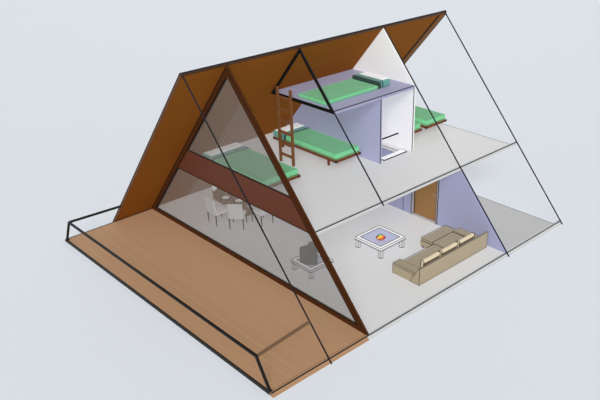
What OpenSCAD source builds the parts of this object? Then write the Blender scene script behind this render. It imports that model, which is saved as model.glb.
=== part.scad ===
// A-frame cabin on three levels, shown without its right-hand roof skin.
// Millimetres. +X is to the right seen from the front, +Y runs from the glazed front to the rear, +Z is up.
// The origin is on the ground, under the middle of the glazed front wall.

/* [Outline] */
// Width between the roof slopes at floor level
base_w = 10500; // [9500:50:11500]
// Height of the ridge above the ground floor
ridge_h = 6000; // [5700:50:6600]
// Depth of the open deck in front of the glazing
deck_l = 3200; // [2600:50:4200]
// Reach of the roof over the deck
front_eave = 1400; // [800:50:2000]
// Distance from the glazing to the cross wall
room_l = 6000; // [5700:50:7000]
// Depth of the floors behind the cross wall
rear_l = 2750; // [2720:10:3600]
// Reach of the roof past the rear edge of the floors
rear_eave = 350; // [200:10:600]

/* [Storeys] */
// Loft floor above the ground floor, top to top
loft_h = 2250; // [2200:10:2450]
// Mezzanine floor above the loft floor, top to top
mezz_rise = 2200; // [2000:10:2300]
// Depth of the mezzanine in front of the cross wall
mezz_l = 3420; // [3300:10:3550]
// Thickness of the ground floor and the deck
floor_t = 100; // [90:5:200]
// Thickness of the loft floor
loft_t = 80; // [60:5:150]
// Thickness of the mezzanine floor
mezz_t = 80; // [60:5:150]
// Width of the beam along a floor's open edge
edge_beam_w = 40; // [30:5:90]

/* [Roof] */
// Thickness of the left roof panel
roof_t = 100; // [80:5:160]
// Side of the ridge beam
ridge_side = 80; // [60:5:100]
// Section of the open rafters on the right slope
rafter_s = 30; // [24:2:70]
// Thickness of the board on the front verge
barge_t = 30; // [20:2:45]
// Width of the board inside the rear verge
verge_board_w = 140; // [100:5:200]
// Thickness of the board inside the rear verge
verge_board_t = 40; // [25:5:60]

/* [Glazed front] */
// Depth of the glazing frame
frame_d = 80; // [70:5:140]
// Width of the raking stiles
stile_w = 180; // [120:5:240]
// Height of the bottom rail
sill_h = 130; // [100:5:200]
// Height of the guard panel above the loft floor
guard_rise = 690; // [500:10:900]
// Thickness of the guard panel
guard_t = 60; // [40:5:70]
// Thickness of the glass units
glass_t = 24; // [18:2:32]

/* [Walls] */
// Thickness of the cross wall below the loft
wall_t = 120; // [100:5:180]
// Thickness of the white walls above the loft
upper_wall_t = 100; // [80:5:140]
// Thickness of the loft partition
partition_t = 80; // [60:5:120]
// Distance from the loft partition to the cross wall
partition_back = 1500; // [1450:10:1600]

/* [Door] */
// Left side of the door opening, from the middle of the cabin
door_x = 1420; // [1200:10:1600]
// Width of the opening in the wall
door_w = 1160; // [960:10:1200]
// Height of the opening in the wall
door_h = 2010; // [1900:5:2040]
// Width of the jambs and the head of the door frame
jamb_w = 70; // [50:5:90]
// How far the door frame stands proud of each wall face
frame_proud = 10; // [5:1:20]
// Thickness of the door leaf
leaf_t = 44; // [36:2:54]
// Gap round the door leaf
leaf_gap = 5; // [4:0.5:8]
// Height of the threshold
threshold_h = 20; // [15:1:30]
// Height of the door handle above the floor
handle_h = 1000; // [900:10:1100]

/* [Deck railing] */
// Height of the top rail above the deck
rail_h = 800; // [700:10:1000]
// Section of the posts and rails
rail_s = 60; // [40:2:80]
// How far the top of a corner post leans in
post_lean = 450; // [250:10:500]

/* [Loft] */
// Width of the hatch
hatch_w = 910; // [800:10:960]
// Length of the hatch
hatch_l = 930; // [800:10:1000]
// Width of the board beside the hatch
hatch_board_w = 200; // [120:10:240]
// Height of the handrail by the hatch
handrail_h = 700; // [650:10:1000]
// Width of the ladder
ladder_w = 690; // [500:10:760]
// Section of the ladder stiles across the ladder
ladder_stile_w = 80; // [45:5:100]
// Depth of the ladder stiles
ladder_stile_d = 60; // [40:5:80]
// Spacing of the ladder rungs
rung_pitch = 370; // [280:10:420]
// Height of a rung board
rung_h = 90; // [50:5:110]

/* [Beds] */
// Length of a bed
bed_l = 3050; // [2400:10:3100]
// Width of a bed
bed_w = 1080; // [950:10:1100]
// Width of the bed behind the glazing
front_bed_w = 1380; // [1000:10:1450]
// Height of a bed's legs
bed_leg_h = 200; // [150:10:300]
// Height of a bed's rails
bed_rail_h = 80; // [60:5:120]
// Thickness of a bed's rails
bed_rail_t = 45; // [30:5:60]
// Thickness of the mattresses on the beds
mattress_t = 190; // [150:5:260]
// Thickness of the mattress on the mezzanine
mezz_mattress_t = 130; // [100:5:180]
// Height of the raised head end on the mezzanine mattress
mezz_head_rise = 90; // [60:5:120]
// Thickness of a pillow
pillow_t = 60; // [50:5:140]

/* [Living room] */
// Width and depth of the coffee table
coffee_w = 1130; // [800:10:1200]
// Height of the coffee table
coffee_h = 340; // [300:10:480]
// Width and depth of the television table
tv_table_w = 900; // [800:10:1000]
// Height of the television table
tv_table_h = 290; // [250:10:500]
// Radius of the legs of the low tables
low_leg_r = 85; // [60:5:95]
// Length of the sofa
sofa_l = 3200; // [2900:10:3400]
// Depth of the sofa at its arms
sofa_d = 1040; // [950:10:1150]
// Height of the sofa's back
sofa_back_h = 550; // [500:10:750]
// Height of the sofa's arms
sofa_arm_h = 350; // [330:5:400]
// Width of the sofa's arms
sofa_arm_w = 330; // [250:10:380]
// How far the chaise stands out from the seat front
chaise_reach = 550; // [400:10:650]
// Thickness of the seat cushions
seat_cushion_t = 110; // [80:5:115]
// Radius of the dining table
table_r = 1000; // [850:10:1050]
// Height of the dining table
table_h = 740; // [700:5:780]
// Width of a dining chair
chair_w = 490; // [400:10:520]
// Height of a dining chair's seat
chair_seat_h = 450; // [420:5:480]
// Height of a dining chair's back
chair_back_h = 950; // [850:10:1050]

/* [Hidden] */

half_w = base_w / 2;
slope = atan(ridge_h / half_w);
front_y = -deck_l;
roof_y0 = -front_eave;
rear_y = room_l + rear_l;
roof_y1 = rear_y + rear_eave;
mezz_h = loft_h + mezz_rise;
mezz_front = room_l - mezz_l;
partition_y = room_l - partition_back;
upper_end_x = half_w * (1 - mezz_h / ridge_h);
joint = 2;
// Clearance where a piece lies against a slope, a frame or another body
seat = 0.3;

mdf_white = [0.88, 0.88, 0.88];
pale_grey = [0.80, 0.80, 0.80];
lilac = [0.60, 0.60, 0.73];
tan_board = [0.64, 0.50, 0.37];
roof_brown = [0.41, 0.24, 0.10];
frame_brown = [0.28, 0.15, 0.07];
guard_brown = [0.37, 0.20, 0.16];
ladder_brown = [0.47, 0.28, 0.14];
near_black = [0.06, 0.06, 0.07];
line_grey = [0.22, 0.29, 0.36];
bed_green = [0.38, 0.68, 0.47];
sofa_beige = [0.68, 0.61, 0.50];
glass_grey = [0.72, 0.74, 0.72, 0.35];

// Half width between the slopes at height h above the ground floor, moved outwards by off along the normal
function slope_x(h, off = 0) = half_w * (1 - h / ridge_h) + off / sin(slope);

// Height of the right slope over x, moved outwards by off along the normal
function slope_h(x, off = 0) = ridge_h * (1 - x / half_w) + off / cos(slope);

// A profile drawn in X and height above the ground floor, as thick as y0 to y1
module profile(points, y0, y1) {
    translate([0, y1, floor_t]) rotate([90, 0, 0]) linear_extrude(y1 - y0) polygon(points);
}

// A box by its lowest and highest corners, with heights above the ground floor
module block(low, high) {
    translate([low[0], low[1], low[2] + floor_t]) cube(high - low);
}

// A bar lying on the outside of the right slope, from height h0 up to the ridge
module outer_bar(t, h0, y0, y1) {
    profile([
        [slope_x(h0), h0],
        [slope_x(h0, t), h0],
        [t * sin(slope), ridge_h + t * cos(slope)],
        [0, ridge_h]
    ], y0, y1);
}

// A bar lying on the inside of the right slope, from height h0 up to the middle of the ridge
module inner_bar(t, h0, y0, y1) {
    x = joint / 2;
    profile([
        [slope_x(h0, -t), h0],
        [slope_x(h0, -seat), h0],
        [x, slope_h(x, -seat)],
        [x, slope_h(x, -t)]
    ], y0, y1);
}

// A level slab between the slopes, each edge drawn in by its inset
module level_slab(h0, h1, y0, y1, left_inset = seat, right_inset = seat) {
    profile([
        [-slope_x(h0, -left_inset), h0],
        [slope_x(h0, -right_inset), h0],
        [slope_x(h1, -right_inset), h1],
        [-slope_x(h1, -left_inset), h1]
    ], y0, y1);
}

// The beam along a floor's edge at the right slope
module slope_edge_beam(w, h0, h1, y0, y1) {
    profile([
        [slope_x(h0, -w), h0],
        [slope_x(h0, -seat), h0],
        [slope_x(h1, -seat), h1],
        [slope_x(h1, -w), h1]
    ], y0, y1);
}

module left_side() {
    mirror([1, 0, 0]) children();
}

// Floors and deck

module ground_floor() {
    color(pale_grey) level_slab(-floor_t, 0, -frame_d / 2, rear_y, right_inset = edge_beam_w);
}

module floor_edge_beam() {
    color(line_grey) slope_edge_beam(edge_beam_w, -floor_t, 0, -frame_d / 2, roof_y1);
}

module front_deck() {
    color(tan_board) level_slab(-floor_t, 0, front_y + edge_beam_w, -frame_d / 2, edge_beam_w, edge_beam_w);
}

module deck_edge_boards() {
    color(near_black) {
        level_slab(-floor_t, 0, front_y, front_y + edge_beam_w);
        slope_edge_beam(edge_beam_w, -floor_t, 0, front_y + edge_beam_w + joint, -frame_d / 2);
        left_side() slope_edge_beam(edge_beam_w, -floor_t, 0, front_y + edge_beam_w + joint, -frame_d / 2);
    }
}

module loft_floor() {
    color(pale_grey) difference() {
        level_slab(loft_h - loft_t, loft_h, frame_d / 2, rear_y, right_inset = edge_beam_w);
        block([hatch_x, hatch_y0, loft_h - 2 * loft_t], [hatch_x + hatch_w, hatch_y0 + hatch_l, loft_h + loft_t]);
    }
}

module loft_edge_beam() {
    color(line_grey) slope_edge_beam(edge_beam_w, loft_h - loft_t, loft_h, frame_d / 2, roof_y1);
}

module mezzanine_floor() {
    color(lilac) level_slab(mezz_h - mezz_t, mezz_h, mezz_front, room_l);
}

// Roof

module left_roof_panel() {
    color(roof_brown) left_side() outer_bar(roof_t, -floor_t, roof_y0, roof_y1);
}

module left_front_bargeboard() {
    color(near_black) left_side() outer_bar(roof_t, -floor_t, roof_y0 - barge_t, roof_y0);
}

module left_rear_verge_board() {
    color(tan_board) left_side() inner_bar(verge_board_t, -floor_t, roof_y1 - verge_board_w, roof_y1);
}

module ridge_beam() {
    arm = ridge_side * [sin(slope), cos(slope)];
    foot = ridge_h + seat / cos(slope);
    color(near_black) profile([
        [0, foot],
        [arm[0], foot + arm[1]],
        [0, foot + 2 * arm[1]],
        [-arm[0], foot + arm[1]]
    ], roof_y0 - barge_t, roof_y1);
}

truss_t = 60;
truss_y = mezz_front - truss_t;
wall_rafter_y = room_l + (wall_t - rafter_s) / 2;

module right_rafters() {
    color(line_grey) {
        outer_bar(rafter_s, -floor_t, roof_y0, roof_y0 + rafter_s);
        outer_bar(rafter_s, loft_h - loft_t, truss_y, truss_y + rafter_s);
        outer_bar(rafter_s, -floor_t, wall_rafter_y, wall_rafter_y + rafter_s);
        outer_bar(rafter_s, -floor_t, roof_y1 - rafter_s, roof_y1);
    }
}

truss_bar = 70;

module mezzanine_truss() {
    color(near_black) {
        level_slab(mezz_h - mezz_t, mezz_h, truss_y, mezz_front);
        inner_bar(truss_bar, mezz_h + seat, truss_y, mezz_front);
        left_side() inner_bar(truss_bar, mezz_h + seat, truss_y, mezz_front);
    }
}

// Glazed front

guard_h0 = loft_h - loft_t;
guard_h1 = loft_h + guard_rise;
guard_y1 = frame_d / 2;
glazing_inset = stile_w + seat;

module glazing_stiles() {
    color(frame_brown) {
        inner_bar(stile_w, 0, -frame_d / 2, frame_d / 2);
        left_side() inner_bar(stile_w, 0, -frame_d / 2, frame_d / 2);
    }
}

module glazing_bottom_rail() {
    color(frame_brown) level_slab(0, sill_h, -frame_d / 2, frame_d / 2, glazing_inset, glazing_inset);
}

module guard_panel() {
    color(guard_brown) level_slab(guard_h0, guard_h1, guard_y1 - guard_t, guard_y1, glazing_inset, glazing_inset);
}

module glass_panes() {
    color(glass_grey) {
        level_slab(sill_h, guard_h0, -glass_t / 2, glass_t / 2, glazing_inset, glazing_inset);
        profile([
            [-slope_x(guard_h1, -glazing_inset), guard_h1],
            [slope_x(guard_h1, -glazing_inset), guard_h1],
            [0, slope_h(0, -glazing_inset)]
        ], -glass_t / 2, glass_t / 2);
    }
}

// Walls

wall_top = loft_h - loft_t;
door_x1 = door_x + door_w;

module cross_wall_left() {
    color(lilac) profile([
        [-slope_x(0, -seat), 0],
        [door_x, 0],
        [door_x, wall_top],
        [-slope_x(wall_top, -seat), wall_top]
    ], room_l, room_l + wall_t);
}

module cross_wall_right() {
    color(lilac) profile([
        [door_x1, 0],
        [slope_x(0, -seat), 0],
        [slope_x(wall_top, -seat), wall_top],
        [door_x1, wall_top]
    ], room_l, room_l + wall_t);
}

module cross_wall_head() {
    color(lilac) block([door_x, room_l, door_h], [door_x1, room_l + wall_t, wall_top]);
}

module loft_wall() {
    color(mdf_white) profile([
        [-slope_x(loft_h, -seat), loft_h],
        [upper_end_x, loft_h],
        [upper_end_x, mezz_h],
        [-slope_x(mezz_h, -seat), mezz_h]
    ], room_l, room_l + upper_wall_t);
}

module gable_wall() {
    color(mdf_white) profile([
        [-slope_x(mezz_h, -seat), mezz_h],
        [slope_x(mezz_h, -seat), mezz_h],
        [0, slope_h(0, -seat)]
    ], room_l, room_l + upper_wall_t);
}

module loft_partition() {
    top = mezz_h - mezz_t;
    color(lilac) profile([
        [-slope_x(loft_h, -seat), loft_h],
        [upper_end_x, loft_h],
        [upper_end_x, top],
        [-slope_x(top, -seat), top]
    ], partition_y, partition_y + partition_t);
}

// Door

frame_y0 = room_l - frame_proud;
frame_y1 = room_l + wall_t + frame_proud;
clear_x0 = door_x + jamb_w;
clear_x1 = door_x1 - jamb_w;
clear_h = door_h - jamb_w;
// The latch side has more room, because the leaf's thickness swings through it
latch_gap = leaf_gap + 3;
leaf_x0 = clear_x0 + leaf_gap;
leaf_x1 = clear_x1 - latch_gap;
leaf_y0 = frame_y1 - leaf_t;
stop_w = 15;
knuckle_r = 8;
knuckle_h = 60;
flap_t = 2;
flap_w = 32;
// The hinge axis stands just behind the rear face, in the middle of the gap
hinge_x = clear_x0 + leaf_gap / 2;
hinge_y = frame_y1 + knuckle_r + 1;
hinge_heights = [250, 980, 1700];

// One half of a hinge: the knuckle and its flap; side is -1 on the frame and 1 on the leaf
module hinge_half(h, side) {
    translate([hinge_x, hinge_y, floor_t + h]) cylinder(h = knuckle_h, r = knuckle_r, $fn = 48);
    x = side < 0 ? hinge_x - flap_w : leaf_x0;
    reach = side < 0 ? flap_w : flap_w - leaf_gap / 2;
    block([x, frame_y1, h], [x + reach, frame_y1 + flap_t, h + knuckle_h]);
    web = side < 0 ? hinge_x - knuckle_r : leaf_x0;
    block([web, frame_y1, h], [web + knuckle_r - leaf_gap / 2, hinge_y, h + knuckle_h]);
}

module door_frame() {
    stop_y1 = leaf_y0 - leaf_gap;
    color(pale_grey) {
        difference() {
            block([door_x, frame_y0, 0], [door_x1, frame_y1, door_h]);
            block([clear_x0, frame_y0 - 1, threshold_h], [clear_x1, frame_y1 + 1, clear_h]);
        }
        block([clear_x0, frame_y0, threshold_h], [clear_x0 + stop_w, stop_y1, clear_h]);
        block([clear_x1 - stop_w, frame_y0, threshold_h], [clear_x1, stop_y1, clear_h]);
        block([clear_x0, frame_y0, clear_h - stop_w], [clear_x1, stop_y1, clear_h]);
        for (h = hinge_heights) hinge_half(h, -1);
    }
}

module door_leaf() {
    color([0.57, 0.42, 0.26]) {
        block([leaf_x0, leaf_y0, threshold_h + leaf_gap], [leaf_x1, frame_y1, clear_h - leaf_gap]);
        for (h = hinge_heights) hinge_half(h + knuckle_h + seat, 1);
    }
}

handle_inset = 60;
rose_r = 26;
rose_t = 8;
neck_r = 10;
handle_reach = 55;
lever_l = 120;
lever_s = 18;

// One lever on a rose, standing out along -Y from the origin
module lever_set() {
    rotate([90, 0, 0]) cylinder(h = rose_t, r = rose_r, $fn = 48);
    rotate([90, 0, 0]) cylinder(h = handle_reach, r = neck_r, $fn = 32);
    translate([-lever_l, -handle_reach - lever_s / 2, -lever_s / 2]) cube([lever_l + neck_r, lever_s, lever_s]);
}

module door_handle() {
    x = leaf_x1 - handle_inset;
    color("silver") {
        translate([x, leaf_y0, floor_t + handle_h]) lever_set();
        translate([x, frame_y1, floor_t + handle_h]) mirror([0, 1, 0]) lever_set();
    }
}

// Deck railing

post_foot_x = half_w - edge_beam_w - rail_s;
post_y = front_y;
// Outer side of a corner post at height h
function post_x(h) = post_foot_x + rail_s - post_lean * h / rail_h;

module corner_post() {
    profile([
        [post_x(0) - rail_s, 0],
        [post_x(0), 0],
        [post_x(rail_h), rail_h],
        [post_x(rail_h) - rail_s, rail_h]
    ], post_y, post_y + rail_s);
}

module railing_posts() {
    color(near_black) {
        corner_post();
        left_side() corner_post();
    }
}

// A side rail from a corner post back to what it meets at end_y, where its outer side is at end_x
module side_rail(end_x, end_y) {
    x = post_x(rail_h - rail_s);
    translate([0, 0, floor_t + rail_h - rail_s]) linear_extrude(rail_s) polygon([
        [x - rail_s, post_y + rail_s],
        [x, post_y + rail_s],
        [end_x, end_y],
        [end_x - rail_s, end_y]
    ]);
}

module front_rail() {
    h0 = rail_h - rail_s;
    color(near_black) profile([
        [-post_x(h0) + rail_s, h0],
        [post_x(h0) - rail_s, h0],
        [post_x(rail_h) - rail_s, rail_h],
        [-post_x(rail_h) + rail_s, rail_h]
    ], post_y, post_y + rail_s);
}

module side_rails() {
    middle = rail_h - rail_s / 2;
    color(near_black) {
        side_rail(slope_x(middle, rafter_s / 2) + rail_s / 2, roof_y0);
        left_side() side_rail(slope_x(middle, roof_t / 2) + rail_s / 2, roof_y0 - barge_t);
    }
}

// Loft fittings

// The hatch and its board stand back from the free ends of the partition and the loft wall
hatch_partition_gap = 210;
hatch_side_gap = 76;
hatch_y0 = partition_y + partition_t + hatch_partition_gap;
hatch_board_x = upper_end_x - hatch_side_gap - hatch_board_w;
hatch_x = hatch_board_x - hatch_w;
hatch_board_t = 30;
hatch_board_over = 120;
handrail_r = 20;
handrail_x = hatch_board_x + hatch_board_w / 2;
handrail_l = 960;

module hatch_board() {
    color(mdf_white) block([hatch_board_x, hatch_y0, loft_h],
        [hatch_board_x + hatch_board_w, hatch_y0 + hatch_l + hatch_board_over, loft_h + hatch_board_t]);
}

module hatch_handrail() {
    color(near_black) translate([handrail_x, partition_y + partition_t, floor_t + loft_h + handrail_h])
        rotate([-90, 0, 0]) cylinder(h = handrail_l, r = handrail_r, $fn = 32);
}

ladder_over = 230;
ladder_clear = 60;
ladder_x = -slope_x(mezz_h + ladder_over) + ladder_clear;
rung_t = 25;
rung_first = 230;

module ladder() {
    y0 = truss_y - ladder_stile_d;
    top = mezz_h + ladder_over;
    rung_y = truss_y - (ladder_stile_d + rung_t) / 2;
    color(ladder_brown) {
        for (x = [ladder_x, ladder_x + ladder_w - ladder_stile_w])
            block([x, y0, loft_h], [x + ladder_stile_w, truss_y, top]);
        for (h = [loft_h + rung_first : rung_pitch : top - rung_h])
            block([ladder_x + ladder_stile_w, rung_y, h], [ladder_x + ladder_w - ladder_stile_w, rung_y + rung_t, h + rung_h]);
    }
}

// Beds

// Distance of a bed's head from the left slope at the loft floor
bed_head_gap = 930;
bed_head_x = -slope_x(loft_h) + bed_head_gap;
bed_foot_x = bed_head_x + bed_l;
front_bed_y = 400;
partition_bed_gap = 180;
rear_bed_gap = 90;
rear_bed_space = 245;
rear_bed_y = room_l + upper_wall_t + rear_bed_gap;
// The near side and the width of each bed
beds = [
    [front_bed_y, front_bed_w],
    [partition_y - partition_bed_gap - bed_w, bed_w],
    [rear_bed_y, bed_w],
    [rear_bed_y + bed_w + rear_bed_space, bed_w]
];
bed_leg_s = 60;
leg_inset = 380;
leg_side = 40;
slat_t = 25;
mattress_inset = 10;
mattress_h0 = bed_leg_h + bed_rail_h;

// The rails and the base board of a bed with its head at the left
module bed_frame(y, w) {
    translate([bed_head_x, y, floor_t + loft_h + bed_leg_h]) {
        difference() {
            cube([bed_l, w, bed_rail_h]);
            translate([bed_rail_t, bed_rail_t, -1]) cube([bed_l - 2 * bed_rail_t, w - 2 * bed_rail_t, bed_rail_h + 2]);
        }
        translate([bed_rail_t - 1, bed_rail_t - 1, bed_rail_h - slat_t])
            cube([bed_l - 2 * bed_rail_t + 2, w - 2 * bed_rail_t + 2, slat_t]);
    }
}

module bed_frames() {
    color(frame_brown) for (bed = beds) bed_frame(bed[0], bed[1]);
}

module bed_legs() {
    color(frame_brown)
        for (bed = beds, x = [leg_inset, bed_l - leg_inset - bed_leg_s], y = [leg_side, bed[1] - leg_side - bed_leg_s])
            block([bed_head_x + x, bed[0] + y, loft_h],
                  [bed_head_x + x + bed_leg_s, bed[0] + y + bed_leg_s, loft_h + bed_leg_h]);
}

// The mezzanine mattress lies on the floor with its head to the rear
mezz_bed_x = -330;
mezz_bed_w = 1230;
mezz_bed_l = 2810;
mezz_bed_gap = 540;
mezz_head_l = 540;
mezz_bed_y = room_l - mezz_bed_gap - mezz_bed_l;

module mattresses() {
    h0 = loft_h + mattress_h0 + seat;
    color(bed_green) {
        for (bed = beds)
            block([bed_head_x + mattress_inset, bed[0] + mattress_inset, h0],
                  [bed_foot_x - mattress_inset, bed[0] + bed[1] - mattress_inset, h0 + mattress_t]);
        block([mezz_bed_x, mezz_bed_y, mezz_h + seat],
              [mezz_bed_x + mezz_bed_w, mezz_bed_y + mezz_bed_l, mezz_h + mezz_mattress_t]);
        block([mezz_bed_x, mezz_bed_y + mezz_bed_l - mezz_head_l, mezz_h + seat],
              [mezz_bed_x + mezz_bed_w, mezz_bed_y + mezz_bed_l, mezz_h + mezz_mattress_t + mezz_head_rise]);
    }
}

pillow_l = 420;
pillow_edge = 15;
mezz_pillow_side = 150;
mezz_pillow_l = 340;

module pillows() {
    x0 = bed_head_x + mattress_inset + pillow_edge;
    h0 = loft_h + mattress_h0 + mattress_t + 2 * seat;
    mezz_y1 = mezz_bed_y + mezz_bed_l - pillow_edge;
    mezz_h0 = mezz_h + mezz_mattress_t + mezz_head_rise + seat;
    color("white") {
        for (bed = beds)
            block([x0, bed[0] + mattress_inset + pillow_edge, h0],
                  [x0 + pillow_l, bed[0] + bed[1] - mattress_inset - pillow_edge, h0 + pillow_t]);
        block([mezz_bed_x + mezz_pillow_side, mezz_y1 - mezz_pillow_l, mezz_h0],
              [mezz_bed_x + mezz_bed_w - pillow_edge, mezz_y1, mezz_h0 + pillow_t]);
    }
}

// Dining set

table_slope_gap = 2540;
table_y = 2090;
table_pos = [-half_w + table_slope_gap, table_y];
table_top_t = 40;
column_r = 70;
table_foot_r = 350;
table_foot_t = 30;
// Directions of the chairs round the table; the last one stands further out
chair_angles = [-90, -48, -2, 180];
chair_out = 50;
last_chair_out = 220;
chair_ring = table_r + chair_out;
last_chair_ring = table_r + last_chair_out;

module dining_table() {
    color(tan_board) translate([table_pos[0], table_pos[1], floor_t]) {
        cylinder(h = table_foot_t, r = table_foot_r, $fn = 64);
        cylinder(h = table_h, r = column_r, $fn = 48);
        translate([0, 0, table_h - table_top_t]) cylinder(h = table_top_t, r = table_r, $fn = 96);
    }
}

chair_d = 560;
chair_leg_s = 36;
chair_seat_t = 60;
chair_back_t = 60;
chair_back_lean = 70;

// Places what follows at each chair, with its back towards +X
module at_chairs() {
    for (i = [0 : len(chair_angles) - 1])
        translate([table_pos[0], table_pos[1], floor_t]) rotate([0, 0, chair_angles[i]])
            translate([i < 3 ? chair_ring : last_chair_ring, 0, 0]) children();
}

module chair_shell() {
    half_d = chair_d / 2;
    translate([-half_d, -chair_w / 2, chair_seat_h - chair_seat_t]) cube([chair_d, chair_w, chair_seat_t]);
    translate([0, chair_w / 2, 0]) rotate([90, 0, 0]) linear_extrude(chair_w) polygon([
        [half_d - chair_back_t, chair_seat_h - 1],
        [half_d, chair_seat_h - 1],
        [half_d + chair_back_lean, chair_back_h],
        [half_d + chair_back_lean - chair_back_t, chair_back_h]
    ]);
}

module dining_chair_shells() {
    color("white") at_chairs() chair_shell();
}

module dining_chair_legs() {
    side = (chair_d - chair_leg_s) / 2;
    across = (chair_w - chair_leg_s) / 2;
    color(near_black) at_chairs()
        for (x = [-side, side], y = [-across, across])
            translate([x, y, 0]) cylinder(h = chair_seat_h - chair_seat_t, d = chair_leg_s, $fn = 24);
}

// Low tables with their things

// The sofa stands before the cross wall and the right slope, the coffee table in front of it
sofa_slope_gap = 610;
sofa_wall_gap = 100;
sofa_x1 = half_w - sofa_slope_gap;
sofa_x0 = sofa_x1 - sofa_d;
sofa_y1 = room_l - sofa_wall_gap;
sofa_y0 = sofa_y1 - sofa_l;
coffee_gap = 780;
coffee_in = 340;
coffee_pos = [sofa_x0 - coffee_gap - coffee_w, sofa_y0 + coffee_in];
tv_table_x = 1300;
tv_table_y = 765;
tv_table_pos = [tv_table_x, tv_table_y];
top_frame_w = 120;
top_frame_t = 40;
panel_t = 20;

// The frame and round legs of a low table with its lowest corner at the origin
module low_table_frame(w, h) {
    translate([0, 0, h - top_frame_t]) difference() {
        cube([w, w, top_frame_t]);
        translate([top_frame_w, top_frame_w, -1]) cube([w - 2 * top_frame_w, w - 2 * top_frame_w, top_frame_t + 2]);
    }
    for (x = [low_leg_r, w - low_leg_r], y = [low_leg_r, w - low_leg_r])
        translate([x, y, 0]) cylinder(h = h - top_frame_t + 1, r = low_leg_r, $fn = 48);
}

module low_table_top(w, h) {
    translate([top_frame_w, top_frame_w, h - panel_t])
        cube([w - 2 * top_frame_w, w - 2 * top_frame_w, panel_t]);
}

module low_table_frames() {
    color("white") {
        translate([coffee_pos[0], coffee_pos[1], floor_t]) low_table_frame(coffee_w, coffee_h);
        translate([tv_table_pos[0], tv_table_pos[1], floor_t]) low_table_frame(tv_table_w, tv_table_h);
    }
}

module low_table_tops() {
    color(lilac) {
        translate([coffee_pos[0], coffee_pos[1], floor_t]) low_table_top(coffee_w, coffee_h);
        translate([tv_table_pos[0], tv_table_pos[1], floor_t]) low_table_top(tv_table_w, tv_table_h);
    }
}

tv_w = 480;
tv_h = 520;
tv_case_d = 250;
tv_back_w = 160;
tv_back_d = 260;
tv_back_h = 430;
tv_turn = 47;
// Middle of the case's rear face, from the middle of the table
tv_x = -10;
tv_y = -110;

// The set faces the sofa, with its tapered back to the corner of the room
module television() {
    middle = tv_table_w / 2;
    color([0.38, 0.38, 0.37])
        translate([tv_table_pos[0] + middle + tv_x, tv_table_pos[1] + middle + tv_y, floor_t + tv_table_h])
        rotate([0, 0, tv_turn]) {
            translate([0, -tv_w / 2, 0]) cube([tv_case_d, tv_w, tv_h]);
            linear_extrude(tv_back_h) polygon([
                [1, -tv_w / 2 + 5],
                [1, tv_w / 2 - 5],
                [-tv_back_d, tv_back_w / 2],
                [-tv_back_d, -tv_back_w / 2]
            ]);
        }
}

plate_r = 130;
plate_h = 22;
plate_in = 190;
plate_ring = table_r - plate_r - plate_in;
bowl_r = 150;
bowl_h = 80;
// Place of the bowl from the middle of the coffee table
bowl_x = 140;
bowl_y = -120;
fruit_r = 45;

// Plates on the dining table and a bowl of fruit on the coffee table
module tableware() {
    middle = coffee_w / 2;
    color("white") {
        for (a = chair_angles)
            translate([table_pos[0], table_pos[1], floor_t + table_h]) rotate([0, 0, a]) translate([plate_ring, 0, 0])
                cylinder(h = plate_h, r1 = plate_r * 0.6, r2 = plate_r, $fn = 48);
        translate([coffee_pos[0] + middle + bowl_x, coffee_pos[1] + middle + bowl_y, floor_t + coffee_h]) {
            cylinder(h = bowl_h, r1 = bowl_r / 2, r2 = bowl_r, $fn = 48);
            for (a = [0 : 90 : 359])
                rotate([0, 0, a]) translate([bowl_r / 2, 0, bowl_h + fruit_r / 3]) sphere(r = fruit_r, $fn = 32);
        }
    }
}

// Sofa: its back stands towards the right slope and it faces the middle of the room

seat_x0 = sofa_x0 + 100;
seat_h0 = 220;
seat_y0 = sofa_y0 + sofa_arm_w;
far_arm_y1 = sofa_y1 - 90;
seat_y1 = far_arm_y1 - sofa_arm_w;
chaise_y0 = seat_y0 + (seat_y1 - seat_y0) * 0.59;
chaise_y1 = sofa_y1 - 220;
back_foot = 370;
back_top = 50;
foot_h = 50;
foot_s = 90;
// Inner face of the sofa's back at height h
function back_x(h) = sofa_x1 - back_foot + (back_foot - back_top) * h / sofa_back_h;

module sofa_frame() {
    color(sofa_beige) {
        profile([
            [sofa_x1 - back_foot, 0],
            [sofa_x1, 0],
            [sofa_x1, sofa_back_h],
            [sofa_x1 - back_top, sofa_back_h]
        ], sofa_y0, sofa_y1);
        block([sofa_x0, sofa_y0, 0], [back_x(0) + 1, seat_y0, sofa_arm_h]);
        block([sofa_x0, seat_y1, 0], [back_x(0) + 1, far_arm_y1, sofa_arm_h]);
        block([seat_x0, seat_y0 - 1, foot_h], [back_x(0) + 1, seat_y1 + 1, seat_h0]);
        block([seat_x0 - chaise_reach, chaise_y0, foot_h], [seat_x0 + 1, chaise_y1, seat_h0]);
        for (y = [chaise_y0, chaise_y1 - foot_s])
            block([seat_x0 - chaise_reach + 40, y, 0], [seat_x0 - chaise_reach + 40 + foot_s, y + foot_s, foot_h + 1]);
    }
}

back_cushion_t = 130;
back_cushion_over = 60;
// The cushions lean less than the sofa's back, which leaves a gap between their tops
back_cushion_lean = 40;

module back_cushion(y0, y1) {
    h0 = seat_h0 + seat_cushion_t + seat;
    x = back_x(h0) - seat;
    profile([
        [x - back_cushion_t, h0],
        [x, h0],
        [x + back_cushion_lean, sofa_back_h + back_cushion_over],
        [x + back_cushion_lean - back_cushion_t, sofa_back_h + back_cushion_over]
    ], y0, y1);
}

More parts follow.
